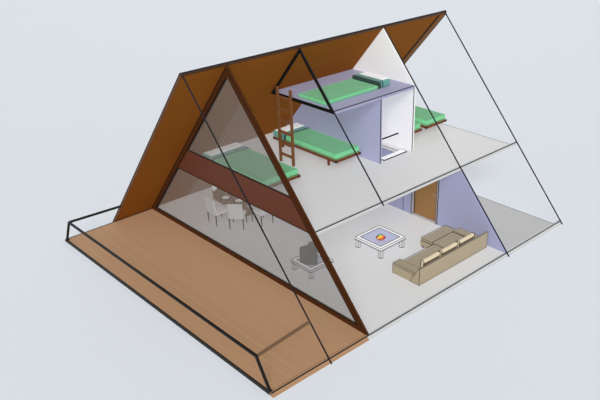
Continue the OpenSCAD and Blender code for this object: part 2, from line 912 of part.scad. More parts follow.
module sofa_cushions() {
    h0 = seat_h0 + seat;
    h1 = seat_h0 + seat_cushion_t;
    x1 = back_x(h0) - seat;
    length = (seat_y1 - seat_y0) / 3;
    color(sofa_beige) {
        block([seat_x0, seat_y0 + joint, h0], [x1, chaise_y0 - joint, h1]);
        block([sofa_x0, chaise_y0, h0], [x1, seat_y1 - joint, h1]);
        block([seat_x0 - chaise_reach, chaise_y0, h0], [sofa_x0 - joint, chaise_y1, h1]);
        for (i = [0 : 2]) back_cushion(seat_y0 + i * length + joint, seat_y0 + (i + 1) * length - joint);
    }
}

ground_floor();
front_deck();
deck_edge_boards();
floor_edge_beam();
left_roof_panel();
left_front_bargeboard();
left_rear_verge_board();
ridge_beam();
right_rafters();
glazing_stiles();
glazing_bottom_rail();
guard_panel();
glass_panes();
loft_floor();
loft_edge_beam();
mezzanine_floor();
mezzanine_truss();
cross_wall_left();
cross_wall_right();
cross_wall_head();
loft_wall();
gable_wall();
loft_partition();
door_frame();
door_leaf();
door_handle();
railing_posts();
front_rail();
side_rails();
ladder();
hatch_board();
hatch_handrail();
bed_frames();
bed_legs();
mattresses();
pillows();
dining_table();
dining_chair_shells();
dining_chair_legs();
tableware();
low_table_frames();
low_table_tops();
television();
sofa_frame();
sofa_cushions();
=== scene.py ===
"""A-frame cabin: finishes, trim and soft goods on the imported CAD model, in metres."""

from math import atan2, cos, dist, hypot, pi, radians, sin

import bmesh
import bpy
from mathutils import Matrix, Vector


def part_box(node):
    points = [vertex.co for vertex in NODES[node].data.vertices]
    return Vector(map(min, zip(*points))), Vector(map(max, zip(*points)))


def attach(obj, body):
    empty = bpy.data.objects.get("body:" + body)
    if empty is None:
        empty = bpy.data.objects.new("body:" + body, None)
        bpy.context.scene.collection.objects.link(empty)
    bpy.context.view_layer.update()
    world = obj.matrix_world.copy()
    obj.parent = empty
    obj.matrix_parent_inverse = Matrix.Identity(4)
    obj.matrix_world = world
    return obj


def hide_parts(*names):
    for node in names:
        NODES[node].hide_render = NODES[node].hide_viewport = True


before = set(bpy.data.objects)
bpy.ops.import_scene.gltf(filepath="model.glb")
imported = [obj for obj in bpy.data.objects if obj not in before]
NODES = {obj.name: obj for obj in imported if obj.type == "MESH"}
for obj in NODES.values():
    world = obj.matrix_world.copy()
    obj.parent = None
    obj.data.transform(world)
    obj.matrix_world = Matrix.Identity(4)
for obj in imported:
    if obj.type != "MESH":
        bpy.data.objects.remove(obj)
SCENE = bpy.context.scene


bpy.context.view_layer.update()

FLOOR_Z = 0.10
HALF_W, RIDGE_RISE = 5.25, 6.0
RIDGE_Z = FLOOR_Z + RIDGE_RISE
SLOPE = atan2(RIDGE_RISE, HALF_W)
LOFT_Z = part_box("loft_floor")[1].z
MEZZ_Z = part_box("mezzanine_floor")[1].z
VERGE_LOW, VERGE_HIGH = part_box("left_rear_verge_board")
ROOF_LOW, ROOF_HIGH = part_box("left_roof_panel")
ROOF_LENGTH = ROOF_HIGH.z / sin(SLOPE)
BOARD_START, BOARD_ROWS = 0.03, 42
BOARD_STEP = (ROOF_LENGTH - BOARD_START - 0.035) / BOARD_ROWS
UP_SLOPE = Vector((cos(SLOPE), 0, sin(SLOPE)))
OUT_SLOPE = Vector((-sin(SLOPE), 0, cos(SLOPE)))
BARGE_OUT = max(v.co.dot(OUT_SLOPE) for v in NODES["left_front_bargeboard"].data.vertices)
FAR = 20.0


def slope_x(z, off=0.0):
    """Half width between the slopes at height z, moved outwards by off along the normal."""
    return HALF_W * (1 - (z - FLOOR_Z) / RIDGE_RISE) + off / sin(SLOPE)


def rgb(*screen):
    """A colour given as screen values from 0 to 255."""
    shares = [v / 255 for v in screen]
    return (*(v / 12.92 if v <= 0.04045 else ((v + 0.055) / 1.055) ** 2.4 for v in shares), 1.0)


# Node trees

class Wire:
    """What comes out of a node. A sign of arithmetic adds a Math node, and a name picks another socket."""

    def __init__(self, socket):
        self.socket = socket

    def __getitem__(self, label):
        return Wire(self.socket.node.outputs[label])

    def __add__(self, other):
        return self.math("ADD", other)

    def __sub__(self, other):
        return self.math("SUBTRACT", other)

    def __mul__(self, other):
        return self.math("MULTIPLY", other)

    def __truediv__(self, other):
        return self.math("DIVIDE", other)

    def math(self, operation, other=0.0, clamp=False):
        inputs = {0: self, 1: other}
        return add_node(self.socket.id_data, "ShaderNodeMath", inputs, operation=operation, use_clamp=clamp)


def fill(node, inputs):
    """Links a node's inputs, given by name or number, to wires, or sets their values."""
    for label, value in inputs.items():
        if isinstance(value, Wire):
            node.id_data.links.new(value.socket, node.inputs[label])
        else:
            node.inputs[label].default_value = value


def add_node(tree, kind, inputs, **settings):
    """A new node with its settings and inputs, as the wire from its first output."""
    node = tree.nodes.new(kind)
    for label, value in settings.items():
        setattr(node, label, value)
    fill(node, inputs)
    return Wire(node.outputs[0]) if node.outputs else None


def new_tree(name, kind, inputs, outputs):
    """A node group with (name, kind, first value) inputs and (name, kind) outputs, and the wires into it."""
    tree = bpy.data.node_groups.new(name, kind)
    for label, socket_kind, value in inputs:
        socket = tree.interface.new_socket(name=label, in_out="INPUT", socket_type="NodeSocket" + socket_kind)
        if value is not None:
            socket.default_value = value
    for label, socket_kind in outputs:
        tree.interface.new_socket(name=label, in_out="OUTPUT", socket_type="NodeSocket" + socket_kind)
    return tree, Wire(tree.nodes.new("NodeGroupInput").outputs[0])


def axes(vector):
    return add_node(vector.socket.id_data, "ShaderNodeSeparateXYZ", {0: vector})


def noise(vector, scale, detail, rough=0.5):
    inputs = {"Vector": vector, "Scale": scale, "Detail": detail, "Roughness": rough}
    return add_node(vector.socket.id_data, "ShaderNodeTexNoise", inputs)


def mix_colour(factor, a, b):
    """A mix of two colours: sockets 6 and 7 of the node take them, and socket 2 gives the result."""
    return add_node(factor.socket.id_data, "ShaderNodeMix", {0: factor, 6: a, 7: b}, data_type="RGBA")[2]


# Shader groups

def painted_tone(ins):
    """Slow change of tone over a painted surface, with a roller's fine texture."""
    wide, fine = noise(ins["Vector"], 0.7, 2.0), noise(ins["Vector"], 160.0, 2.0)
    return (wide - 0.5) * ins["Change"] * 2.0 + 1.0, ins["Roughness"] + (wide - 0.5) * 0.12, fine


def timber_grain(ins):
    """Timber grain that runs along one axis, in boards of a given width, each with a tone of its own."""
    tree = ins.socket.id_data
    board = ins["Across"] / ins["Board Width"]
    tone = add_node(tree, "ShaderNodeTexWhiteNoise", {"W": board.math("FLOOR")}, noise_dimensions="1D")
    shifted = add_node(tree, "ShaderNodeVectorMath", {0: ins["Vector"], 1: tone["Color"]}, operation="ADD")
    grain = noise(shifted, 3.0, 6.0, 0.65) * 0.6 + noise(shifted, 14.0, 3.0, 0.6) * 0.4
    change = (grain - 0.5) * ins["Contrast"] + (tone["Value"] - 0.5) * (ins["Contrast"] * 0.35)
    joint = (board.math("FRACT") - 0.5).math("ABSOLUTE").math("GREATER_THAN", 0.475)
    return (change + 1.0 - joint * ins["Joint Depth"], ins["Roughness"] + (grain - 0.5) * 0.25,
            grain * 0.3 - joint)


def woven_cloth(ins):
    """A plain weave with slubs, for covers and cushions."""
    place = axes(ins["Vector"])
    waves = [(place[axis] * (2 * pi) / ins["Thread"]).math("SINE") for axis in "XYZ"]
    slub, wide = noise(ins["Vector"], 35.0, 4.0, 0.6), noise(ins["Vector"], 2.5, 2.0)
    change = (slub - 0.5) * 0.8 + (wide - 0.5) * 0.6
    weave = (waves[0] + waves[1] + waves[2]) * 0.33
    return change * ins["Change"] + 1.0, slub * 0.15 + 0.78, weave * 0.5 + slub


def finish_group(build, sizes):
    """A group that takes a place, a colour and sizes, and puts out a colour, a roughness and a height."""
    inputs = [("Vector", "Vector", None), ("Colour", "Color", (0.5, 0.5, 0.5, 1))]
    inputs += [(label, "Float", value) for label, value in sizes.items()]
    outputs = (("Colour", "Color"), ("Roughness", "Float"), ("Height", "Float"))
    tree, ins = new_tree(build.__name__, "ShaderNodeTree", inputs, outputs)
    strength, rough, height = build(ins)
    tinted = add_node(tree, "ShaderNodeVectorMath", {0: ins["Colour"], "Scale": strength}, operation="SCALE")
    add_node(tree, "NodeGroupOutput", {"Colour": tinted, "Roughness": rough, "Height": height})
    return tree


TONE = finish_group(painted_tone, {"Change": 0.05, "Roughness": 0.55})
GRAIN = finish_group(timber_grain, {"Contrast": 0.3, "Across": 0.0, "Board Width": 0.14, "Joint Depth": 0.5,
                                    "Roughness": 0.5})
WEAVE = finish_group(woven_cloth, {"Thread": 0.004, "Change": 0.2})

# Strength and distance of the bump that each kind of surface has
PAINT_BUMP, HARD_BUMP, EDGE_BUMP = (0.08, 0.001), (0.04, 0.0006), (0.06, 0.001)
GRAIN_BUMP, WEAVE_BUMP = (0.25, 0.002), (0.35, 0.002)


# Materials

MAT = {}


def start_material(name):
    """A new material's tree and the object coordinates in it."""
    material = MAT[name] = bpy.data.materials.new(name)
    material.use_nodes = True
    return material.node_tree, add_node(material.node_tree, "ShaderNodeTexCoord", {})["Object"]


def dress(tree, group, bump, inputs, **looks):
    """Colour, roughness and bump of a finish group go to the shader, whose other inputs are set."""
    finish = add_node(tree, "ShaderNodeGroup", inputs, node_tree=group)
    height = {"Strength": bump[0], "Distance": bump[1], "Height": finish["Height"]}
    relief = add_node(tree, "ShaderNodeBump", height)
    shader = {"Base Color": finish["Colour"], "Roughness": finish["Roughness"], "Normal": relief}
    shader |= {label.replace("_", " "): value for label, value in looks.items()}
    fill(tree.nodes["Principled BSDF"], shader)


def toned(name, colour, change, roughness, bump, specular, **looks):
    tree, place = start_material(name)
    inputs = {"Vector": place, "Colour": rgb(*colour), "Change": change, "Roughness": roughness}
    dress(tree, TONE, bump, inputs, Specular_IOR_Level=specular, **looks)


def paint(name, colour, change=0.03, roughness=0.55, specular=0.15):
    toned(name, colour, change, roughness, PAINT_BUMP, specular)


def hard(name, colour, roughness=0.45, coat=0.0, change=0.02, specular=0.5, metallic=0.0):
    toned(name, colour, change, roughness, HARD_BUMP, specular, Metallic=metallic, Coat_Weight=coat)


def timber(name, colour, along="X", across="Y", contrast=0.3, width=3.0, joint=0.0, roughness=0.5, coat=0.0,
           specular=0.15, start=0.0):
    """Timber whose grain runs along one axis, in boards laid side by side across another or up the slope."""
    tree, place = start_material(name)
    stretch = tuple(0.12 if axis == along else 1.6 for axis in "XYZ")
    grain = add_node(tree, "ShaderNodeMapping", {"Vector": place, "Scale": stretch})
    side = axes(place)["Z"] / sin(SLOPE) - start if across == "SLOPE" else axes(place)[across]
    inputs = {"Vector": grain, "Colour": rgb(*colour), "Contrast": contrast, "Across": side,
              "Board Width": width, "Joint Depth": joint, "Roughness": roughness}
    dress(tree, GRAIN, GRAIN_BUMP, inputs, Coat_Weight=coat, Coat_Roughness=0.3, Specular_IOR_Level=specular)


def cloth(name, colour, other=None, thread=0.006, change=0.14, sheen=0.25, axis="Z", limit=0.80, below=FAR):
    """A woven cover. Its faces towards one axis, down from a height, may take a second, darker colour:
    painted shade.
    """
    tree, place = start_material(name)
    shade = rgb(*colour)
    if other:
        facing = axes(add_node(tree, "ShaderNodeNewGeometry", {})["Normal"])[axis]
        mask = (facing - limit).math("MULTIPLY", 8.0, clamp=True) * axes(place)["Z"].math("LESS_THAN", below)
        shade = mix_colour(mask, shade, rgb(*other))
    dress(tree, WEAVE, WEAVE_BUMP, {"Vector": place, "Colour": shade, "Thread": thread, "Change": change},
          Sheen_Weight=sheen, Specular_IOR_Level=0.2)


def edged(name, dark, pale, *bands):
    """An edge in a pale colour, with dark lines in (axis, from, to) bands; OUT is out of the closed slope."""
    tree, place = start_material(name)
    at = axes(place)
    masks = []
    for axis, start, end in bands:
        where = at["Z"] * cos(SLOPE) - at["X"] * sin(SLOPE) if axis == "OUT" else at[axis]
        masks.append(where.math("GREATER_THAN", start) * where.math("LESS_THAN", end))
    mask = masks[0].math("MAXIMUM", masks[-1])
    colour = mix_colour(mask, rgb(*pale), rgb(*dark))
    dress(tree, TONE, EDGE_BUMP, {"Vector": place, "Colour": colour, "Change": 0.02, "Roughness": 0.55},
          Specular_IOR_Level=0.2)


def clear_glass(name):
    """A sealed unit as a thin grey pane: part see-through, part gloss."""
    tree, place = start_material(name)
    shade = mix_colour(noise(place, 1.3, 2.0), rgb(116, 116, 113), rgb(122, 122, 119))
    fill(tree.nodes["Principled BSDF"],
         {"Base Color": shade, "Roughness": 0.05, "Alpha": 0.32, "Specular IOR Level": 0.4})


DARK_PAINT, STAIN = (16, 14, 13), (70, 37, 15)
LINE, FLUSH = 0.028, 0.0005

timber("deck_boards", (168, 130, 97), contrast=0.16, width=0.145, joint=0.22, roughness=0.6)
timber("roof_lining", (129, 76, 26), "Y", "SLOPE", 0.10, width=0.19, joint=0.12, roughness=0.8, specular=0.03)
timber("roof_boards", (98, 62, 34), "Y", "SLOPE", 0.55, width=BOARD_STEP, roughness=0.75, start=BOARD_START)
timber("frame_stain", STAIN, "Z", "Y", roughness=0.6, specular=0.04)
timber("frame_stain_level", STAIN, "X", "Z", roughness=0.6, specular=0.04)
timber("bead_stain", (30, 15, 8), "X", "Z", roughness=0.6, specular=0.04)
timber("guard_stain", (90, 47, 30), "X", "Z", 0.12, width=0.193, joint=0.15)
timber("door_panel", (142, 105, 62), "Z", "X", 0.12, roughness=0.45)
timber("ladder_stain", (116, 72, 36), "Z", "X", 0.35)
timber("bed_frame_stain", (104, 54, 28))
timber("bed_corner_stain", (38, 24, 18), "Z", "X")
timber("table_stain", (120, 84, 62), contrast=0.25, width=0.12, joint=0.1, coat=0.3)

paint("floor_finish", (204, 204, 204), change=0.015, roughness=0.5)
paint("black_paint", (14, 11, 10), roughness=0.6, specular=0.06)
paint("blue_grey_paint", (30, 30, 33), roughness=0.6, specular=0.08)
paint("verge_line", (28, 14, 6), roughness=0.6, specular=0.06)
paint("lilac_panel", (153, 155, 185), change=0.02)
paint("lilac_floor", (150, 148, 176), change=0.02, roughness=0.5)
# A lighter copy of the lilac paint for the loft partition: painted light against the mezzanine's shadow on it
paint("loft_partition_lightened_lilac", (165, 167, 197), change=0.02)
paint("white_panel", (235, 235, 234), change=0.01)
paint("dark_edging", (56, 58, 62), roughness=0.5)
paint("dark_outline", (24, 25, 28), roughness=0.6, specular=0.06)
paint("sofa_foot_paint", (40, 36, 32), roughness=0.5)
paint("door_frame_paint", (168, 168, 174), change=0.02)
paint("wall_batten", (88, 88, 116), change=0.02)

edged("ground_finish", (176, 176, 176), (206, 206, 206), ("Y", 6.06, FAR))
# Below its dark top line the ridge beam takes a darker copy of the roof brown: painted shade against the
# lamps on its lower faces
edged("ridge_paint", DARK_PAINT, (66, 38, 17), ("Z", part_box("ridge_beam")[1].z - 0.035, FAR))
edged("bargeboard_paint", DARK_PAINT, (94, 55, 20), ("OUT", BARGE_OUT - 0.034, FAR))
edged("verge_board", (30, 16, 8), (120, 78, 40), ("Y", VERGE_HIGH.y - 0.06, FAR))
# The edge beams' pale faces are a darker copy of the floor grey: painted shade against the side lamp on them
edged("floor_edge", (50, 54, 60), (188, 188, 188),
      ("Z", FLOOR_Z - LINE, FLOOR_Z - FLUSH), ("Z", LOFT_Z - LINE, LOFT_Z - FLUSH))
edged("deck_edge", (18, 14, 12), (160, 124, 92),
      ("Z", FLOOR_Z - 0.026, FLOOR_Z - FLUSH), ("X", -FAR, HALF_W - 0.045))
edged("side_rail_paint", (14, 12, 12), (108, 80, 56), ("X", -FAR, 0.0))
# Low down, the legs take a darker grey than the frames' white: painted shade against the strong lamp light on
# them
edged("low_table_paint", (200, 200, 200), (236, 236, 236), ("Z", 0.0, FLOOR_Z + 0.29))

clear_glass("glass")
hard("handle_metal", (173.4, 171.5, 169.6), roughness=0.38, metallic=1.0)
hard("bolt_metal", (70, 72, 76), roughness=0.4, metallic=0.8)
hard("railing_paint", (14, 12, 12), roughness=0.5, specular=0.12)
hard("chair_shell", (226, 226, 228), roughness=0.35, coat=0.2)
hard("chair_legs", (30, 25, 23))
hard("tableware_glaze", (232, 232, 228), roughness=0.12, coat=0.5)
hard("bowl_glaze", (160, 34, 24), roughness=0.15, coat=0.5)
hard("orange_peel", (232, 128, 40), change=0.3)
hard("lemon_peel", (236, 200, 74), change=0.2)
hard("apple_skin", (96, 150, 92), roughness=0.35, change=0.3)
hard("leaf_green", (52, 132, 74), change=0.3)
hard("low_table_lilac", (184, 188, 214), roughness=0.2, coat=0.3)
hard("television_case", (80, 81, 80), roughness=0.5)
hard("television_grille", (40, 42, 44), roughness=0.5)
hard("television_screen", (32, 36, 40), roughness=0.08, coat=0.6)

COVER = {"thread": 0.008, "change": 0.12, "sheen": 0.2}
# The mattress cover's tops take the darker colour: painted shade against its lighter sides
cloth("mattress_cover", (118, 200, 144), (96, 168, 119), **COVER)
cloth("mattress_welt", (112, 192, 138), thread=0.01)
cloth("blanket", (92, 150, 140), thread=0.012)
# Dark bands on the bedding: its hemmed edges, and painted shadow beside the pillows
cloth("blanket_hem_and_shade", (30, 58, 52), thread=0.012)
cloth("pillow_cover", (232, 232, 232), thread=0.004, change=0.04)
# A dark woven disc under each plate: painted shadow round the plate's rim
cloth("place_mats", (62, 50, 44), thread=0.01)
# The sofa covers' tops take the darker colour: painted shade against their lighter sides
cloth("sofa_cover", (161, 146, 121), (148, 136, 112), **COVER)
cloth("sofa_cushion_cover", (166, 151, 126), (150, 138, 116), **COVER)
# The back cushions' faces towards the back, below the given height, are dark: painted shadow in the gap
# behind them
cloth("sofa_back_cushion_cover", (216, 201, 170), (92, 80, 60), 0.008, 0.10, 0.2, "X", 0.45, FLOOR_Z + 0.53)
cloth("sofa_piping", (48, 40, 31), thread=0.01)


# Making pieces

def add_object(name, data):
    obj = bpy.data.objects.new(name, data)
    SCENE.collection.objects.link(obj)
    return obj


def object_from(name, bm, recalculate=True):
    """An object of a mesh in the making, closed and facing outwards unless it is already."""
    if recalculate:
        bmesh.ops.remove_doubles(bm, verts=bm.verts, dist=1e-6)
        bmesh.ops.recalc_face_normals(bm, faces=bm.faces)
    mesh = bpy.data.meshes.new(name)
    bm.to_mesh(mesh)
    bm.free()
    return add_object(name, mesh)


def finish_piece(obj, material, slot=None, body="cabin", smooth=False, angle=None, node=None):
    """Finish, shading and body of a piece, and the CAD node that it stands for; the slot is not used."""
    obj.data.materials.clear()
    obj.data.materials.append(MAT[material])
    for face in obj.data.polygons:
        face.use_smooth = smooth
    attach(obj, body)
    if angle:
        shade_by_angle(obj, angle)
    if node:
        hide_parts(node)
    return obj


def piece(name, bm, *finish, **more):
    return finish_piece(object_from(name, bm), *finish, **more)


def shade_by_angle(obj, angle):
    """Smooth faces, with the edges sharp where they turn by more than an angle."""
    for face in obj.data.polygons:
        face.use_smooth = True
    bm = bmesh.new()
    bm.from_mesh(obj.data)
    for edge in bm.edges:
        edge.smooth = len(edge.link_faces) == 2 and edge.calc_face_angle(0) < radians(angle)
    bm.to_mesh(obj.data)
    bm.free()


def evaluated_mesh(obj):
    graph = bpy.context.evaluated_depsgraph_get()
    graph.update()
    return bpy.data.meshes.new_from_object(obj.evaluated_get(graph), depsgraph=graph)


def take_mesh(obj, mesh):
    """The mesh becomes the object's own in place of its old one and its modifiers."""
    old = obj.data
    obj.modifiers.clear()
    obj.data = mesh
    bpy.data.meshes.remove(old)
    return obj


def modified(obj, kind, **settings):
    """The object with one modifier applied."""
    modifier = obj.modifiers.new(kind.lower(), kind)
    for label, value in settings.items():
        setattr(modifier, label, value)
    return take_mesh(obj, evaluated_mesh(obj))


def bevelled(obj, width, segments):
    sharp = radians(30)
    return modified(obj, "BEVEL", width=width, segments=segments, limit_method="ANGLE", angle_limit=sharp)


def rounded_node(node, width, material, segments=2):
    """A CAD node's shape in clean faces, with its edges rounded, which stands for the node."""
    bm = bmesh.new()
    bm.from_mesh(NODES[node].data)
    bmesh.ops.remove_doubles(bm, verts=bm.verts, dist=1e-6)
    bmesh.ops.dissolve_limit(bm, angle_limit=radians(0.5), verts=bm.verts, edges=bm.edges)
    obj = bevelled(object_from(node + "_rounded", bm, recalculate=False), width, segments)
    finish_piece(obj, material, angle=35, node=node)


def add_box(bm, low, high, place=lambda x, y, z: (x, y, z)):
    """A box between two corners, set down by a rule for its place."""
    ends = list(zip(low, high))
    corners = [bm.verts.new(place(x, y, z)) for x in ends[0] for y in ends[1] for z in ends[2]]
    for face in ((0, 1, 3, 2), (4, 6, 7, 5), (0, 4, 5, 1), (2, 3, 7, 6), (0, 2, 6, 4), (1, 5, 7, 3)):
        bm.faces.new([corners[i] for i in face])


def add_prism(bm, points, y0, y1):
    """A closed prism from a profile in X and Z, from y0 to y1."""
    front, back = [[bm.verts.new((x, y, z)) for x, z in points] for y in (y0, y1)]
    bm.faces.new(front)
    bm.faces.new(back[::-1])
    for i in range(len(points)):
        bm.faces.new((front[i], front[i - 1], back[i - 1], back[i]))


def add_lathe(bm, centre, profile, steps=32):
    """A turned shape from (radius, height) pairs; ends on the axis are closed."""
    x, y, z = centre
    rings = []
    for radius, height in profile:
        turns = [2 * pi * i / steps for i in range(steps if radius else 1)]
        rings.append([bm.verts.new((x + radius * cos(t), y + radius * sin(t), z + height)) for t in turns])
    for a, b in zip(rings, rings[1:]):
        for i in range(steps):
            j = (i + 1) % steps
            corners = list(dict.fromkeys((a[i % len(a)], a[j % len(a)], b[j % len(b)], b[i % len(b)])))
            if len(corners) > 2:
                bm.faces.new(corners)


def add_skin(bm, rows, flip=False):
    """Faces between rows of points."""
    for a, b in zip(rows, rows[1:]):
        for k in range(len(a) - 1):
            face = [a[k], b[k], b[k + 1], a[k + 1]]
            bm.faces.new(face[::-1] if flip else face)


def islands(node):
    """The lowest and highest corner and the points of each separate solid of a CAD node."""
    bm = bmesh.new()
    bm.from_mesh(NODES[node].data)
    bmesh.ops.remove_doubles(bm, verts=bm.verts, dist=1e-5)
    left, found = set(bm.verts), []
    while left:
        stack, points = [left.pop()], []
        while stack:
            vertex = stack.pop()
            points.append(vertex.co.copy())
            near = {edge.other_vert(vertex) for edge in vertex.link_edges} & left
            left -= near
            stack += near
        low, high = (Vector([pick(p[i] for p in points) for i in range(3)]) for pick in (min, max))
        found.append((low, high, points))
    bm.free()
    return sorted(found, key=lambda s: (round(s[0].z, 2), round(s[0].y, 2), round(s[0].x, 2)))


# Repeats by Geometry Nodes

def repeat_tree(name, sizes, build):
    """A tree that sets instances, makes them real and gives them a material."""
    inputs = [("Geometry", "Geometry", None), *sizes, ("Material", "Material", None)]
    tree, ins = new_tree(name, "GeometryNodeTree", inputs, [("Geometry", "Geometry")])
    real = add_node(tree, "GeometryNodeRealizeInstances", {0: build(tree, ins)})
    finished = add_node(tree, "GeometryNodeSetMaterial", {"Geometry": real, "Material": ins["Material"]})
    add_node(tree, "NodeGroupOutput", {0: finished})
    return tree


def bolt_heads(tree, ins):
    """Bolt heads with washers at the vertices of a mesh, each turned to the vertex's aim."""
    join = add_node(tree, "GeometryNodeJoinGeometry", {})
    for sides, radius, share in ((6, "Head Radius", 1.0), (24, "Washer Radius", 0.35)):
        size = {"Vertices": sides, "Radius": ins[radius], "Depth": ins["Head Height"] * (2 * share)}
        fill(join.socket.node, {0: add_node(tree, "GeometryNodeMeshCylinder", size)})
    aim = add_node(tree, "GeometryNodeInputNamedAttribute", {"Name": "aim"}, data_type="FLOAT_VECTOR")
    turn = add_node(tree, "FunctionNodeAlignRotationToVector", {"Vector": aim})
    return add_node(tree, "GeometryNodeInstanceOnPoints",
                    {"Points": ins["Geometry"], "Instance": join, "Rotation": turn})


def board_row(tree, ins):
    """Copies of a mesh in a row, a step apart."""
    line = add_node(tree, "GeometryNodeMeshLine", {"Count": ins["Count"], "Offset": ins["Step"]})
    return add_node(tree, "GeometryNodeInstanceOnPoints", {"Points": line, "Instance": ins["Geometry"]})


BOLTS = repeat_tree("bolt_heads", (("Head Radius", "Float", 0.014), ("Head Height", "Float", 0.008),
                                   ("Washer Radius", "Float", 0.022)), bolt_heads)
ROWS = repeat_tree("board_row", (("Count", "Int", 10), ("Step", "Vector", None)), board_row)


def repeated(obj, tree, values, material, slot):
    """A finished piece of what a tree repeats from the object's mesh."""
    modifier = obj.modifiers.new(tree.name, "NODES")
    modifier.node_group = tree
    values["Material"] = MAT[material]
    for socket in tree.interface.items_tree:
        if socket.in_out == "INPUT" and socket.name in values:
            modifier[socket.identifier] = values[socket.name]
    return finish_piece(take_mesh(obj, evaluated_mesh(obj)), material, slot)


def bolts(name, places, slot, radius, height):
    """Bolt heads at (point, direction) pairs."""
    mesh = bpy.data.meshes.new(name)
    mesh.from_pydata([point for point, _ in places], [], [])
    aim = mesh.attributes.new("aim", "FLOAT_VECTOR", "POINT")
    for target, (_, direction) in zip(aim.data, places):
        target.vector = direction
    sizes = {"Head Radius": radius, "Head Height": height, "Washer Radius": radius * 1.6}
    repeated(add_object(name, mesh), BOLTS, sizes, "bolt_metal", slot)


# Cloth

PUFF_FRAMES = 20


def simulate(obj, cap, pressure):
    """Blows a closed shape up as cloth, and caps how far each point moves."""
    start = [v.co.copy() for v in obj.data.vertices]
    modifier = obj.modifiers.new("cloth", "CLOTH")
    settings = modifier.settings
    settings.use_pressure = True
    settings.uniform_pressure_force = pressure
    settings.quality = 3
    settings.tension_stiffness = settings.compression_stiffness = 30
    settings.bending_stiffness = 1.5
    settings.effector_weights.gravity = 0
    modifier.collision_settings.use_collision = False
    modifier.point_cache.frame_start = 1
    modifier.point_cache.frame_end = PUFF_FRAMES
    for number in range(1, PUFF_FRAMES + 1):
        SCENE.frame_set(number)
    mesh = evaluated_mesh(obj)
    for vertex, origin in zip(mesh.vertices, start):
        move = vertex.co - origin
        if move.length > cap:
            vertex.co = origin + move * (cap / move.length)
    take_mesh(obj, mesh)
    SCENE.frame_set(1)


def padded(obj, low, high, cap, pressure, rounds, material, slot):
    """A soft piece: blown up, smoothed, kept in the space of its CAD solid and finished."""
    simulate(obj, cap, pressure)
    modified(obj, "SMOOTH", factor=0.5, iterations=rounds)
    for vertex in obj.data.vertices:
        vertex.co = [min(max(c, a), b) for c, a, b in zip(vertex.co, low, high)]
    finish_piece(obj, material, slot, smooth=True)
    return obj


def padded_block(name, low, high, material, slot, cap=0.012, voxel=0.030, shrink=0.008,
                 edge=0.036, profile=None):
    """A padded piece from a closed block, or from a profile drawn out along Y."""
    bm = bmesh.new()
    if profile:
        add_prism(bm, profile, low.y + shrink, high.y - shrink)
    else:
        add_box(bm, [v + shrink for v in low], [v - shrink for v in high])
    obj = modified(bevelled(object_from(name, bm), edge, 3), "REMESH", mode="VOXEL", voxel_size=voxel)
    return padded(obj, low, high, cap, 4.0, 3, material, slot)


def pillow(name, low, high):
    """A stuffed pillow: crowned, with its sides pulled in between the corners."""
    centre, half = (low + high) / 2, (high - low) / 2
    columns, lines = (36, 18) if half.x > half.y else (18, 36)

    def crown(share):
        return (1 - abs(share) ** 3.5) ** 0.45

    bm = bmesh.new()
    rim = {}
    for side in (1, -1):
        rows = []
        for i in range(columns + 1):
            rows.append([])
            for j in range(lines + 1):
                border = i in (0, columns) or j in (0, lines)
                if (i, j) not in rim:
                    u, v = -1 + 2 * i / columns, -1 + 2 * j / lines
                    height = 0.0 if border else side * half.z * 0.96 * crown(u) * crown(v)
                    rows[-1].append(bm.verts.new((centre.x + half.x * u * (1 - 0.05 * (1 - v * v)),
                                                  centre.y + half.y * v * (1 - 0.04 * (1 - u * u)),
                                                  centre.z + height)))
                else:
                    rows[-1].append(rim[i, j])
                if border:
                    rim[i, j] = rows[-1][-1]
        add_skin(bm, rows, flip=side == -1)
    return padded(object_from(name, bm), low, high, 0.006, 3.0, 2, "pillow_cover", None)


# Where a blanket lies from the head of its bed, and where its dark bands are
BLANKET = (0.006, 0.655)
# Of these dark bands the first is the blanket's hemmed edge, and the second is painted shadow of the pillow's
# edge
HEM_AND_SHADE_BANDS = ((0.555, 0.655), (0.425, 0.460))


def laid_blanket(name, low, high, gap=0.004, radius=0.034):
    """A folded blanket over the head of a mattress: across its top and down both sides, with dark bands."""
    near, far, top = low.y - gap, high.y + gap, high.z + gap
    drop = high.z - low.z - 0.012
    start, end = low.x + BLANKET[0], low.x + BLANKET[1]
    hem_and_shade_bands = [(low.x + a, low.x + b) for a, b in HEM_AND_SHADE_BANDS]
    side = [(0.0, top - drop + (drop - radius) * i / 6) for i in range(7)]
    side += [(radius * (1 - cos(pi / 8 * k)), top - radius * (1 - sin(pi / 8 * k))) for k in range(1, 5)]
    path = [(near + inward, z) for inward, z in side]
    path += [(near + radius + (far - near - 2 * radius) * i / 24, top) for i in range(1, 24)]
    path += [(far - inward, z) for inward, z in side[::-1]]
    places = {round(start + (end - start) * i / 16, 4) for i in range(17)}
    places |= {round(edge, 4) for dark_band in hem_and_shade_bands for edge in dark_band}
    bm = bmesh.new()
    rows = []
    for x in sorted(places):
        ripples = [0.0016 * sin(k * 1.3 + x * 22) * sin(x * 12 + 0.4 * k) for k in range(len(path))]
        rows.append([bm.verts.new((x, y, z + ripple)) for (y, z), ripple in zip(path, ripples)])
    add_skin(bm, rows)
    bmesh.ops.recalc_face_normals(bm, faces=bm.faces)
    if max(bm.faces, key=lambda f: f.calc_center_median().z).normal.z < 0:
        bmesh.ops.reverse_faces(bm, faces=bm.faces)
    obj = object_from(name, bm, recalculate=False)
    modified(obj, "SOLIDIFY", thickness=0.004, offset=1.0, use_even_offset=True)
    finish_piece(obj, "blanket", "mattress_cover", smooth=True)
    banded(obj, 0, hem_and_shade_bands)


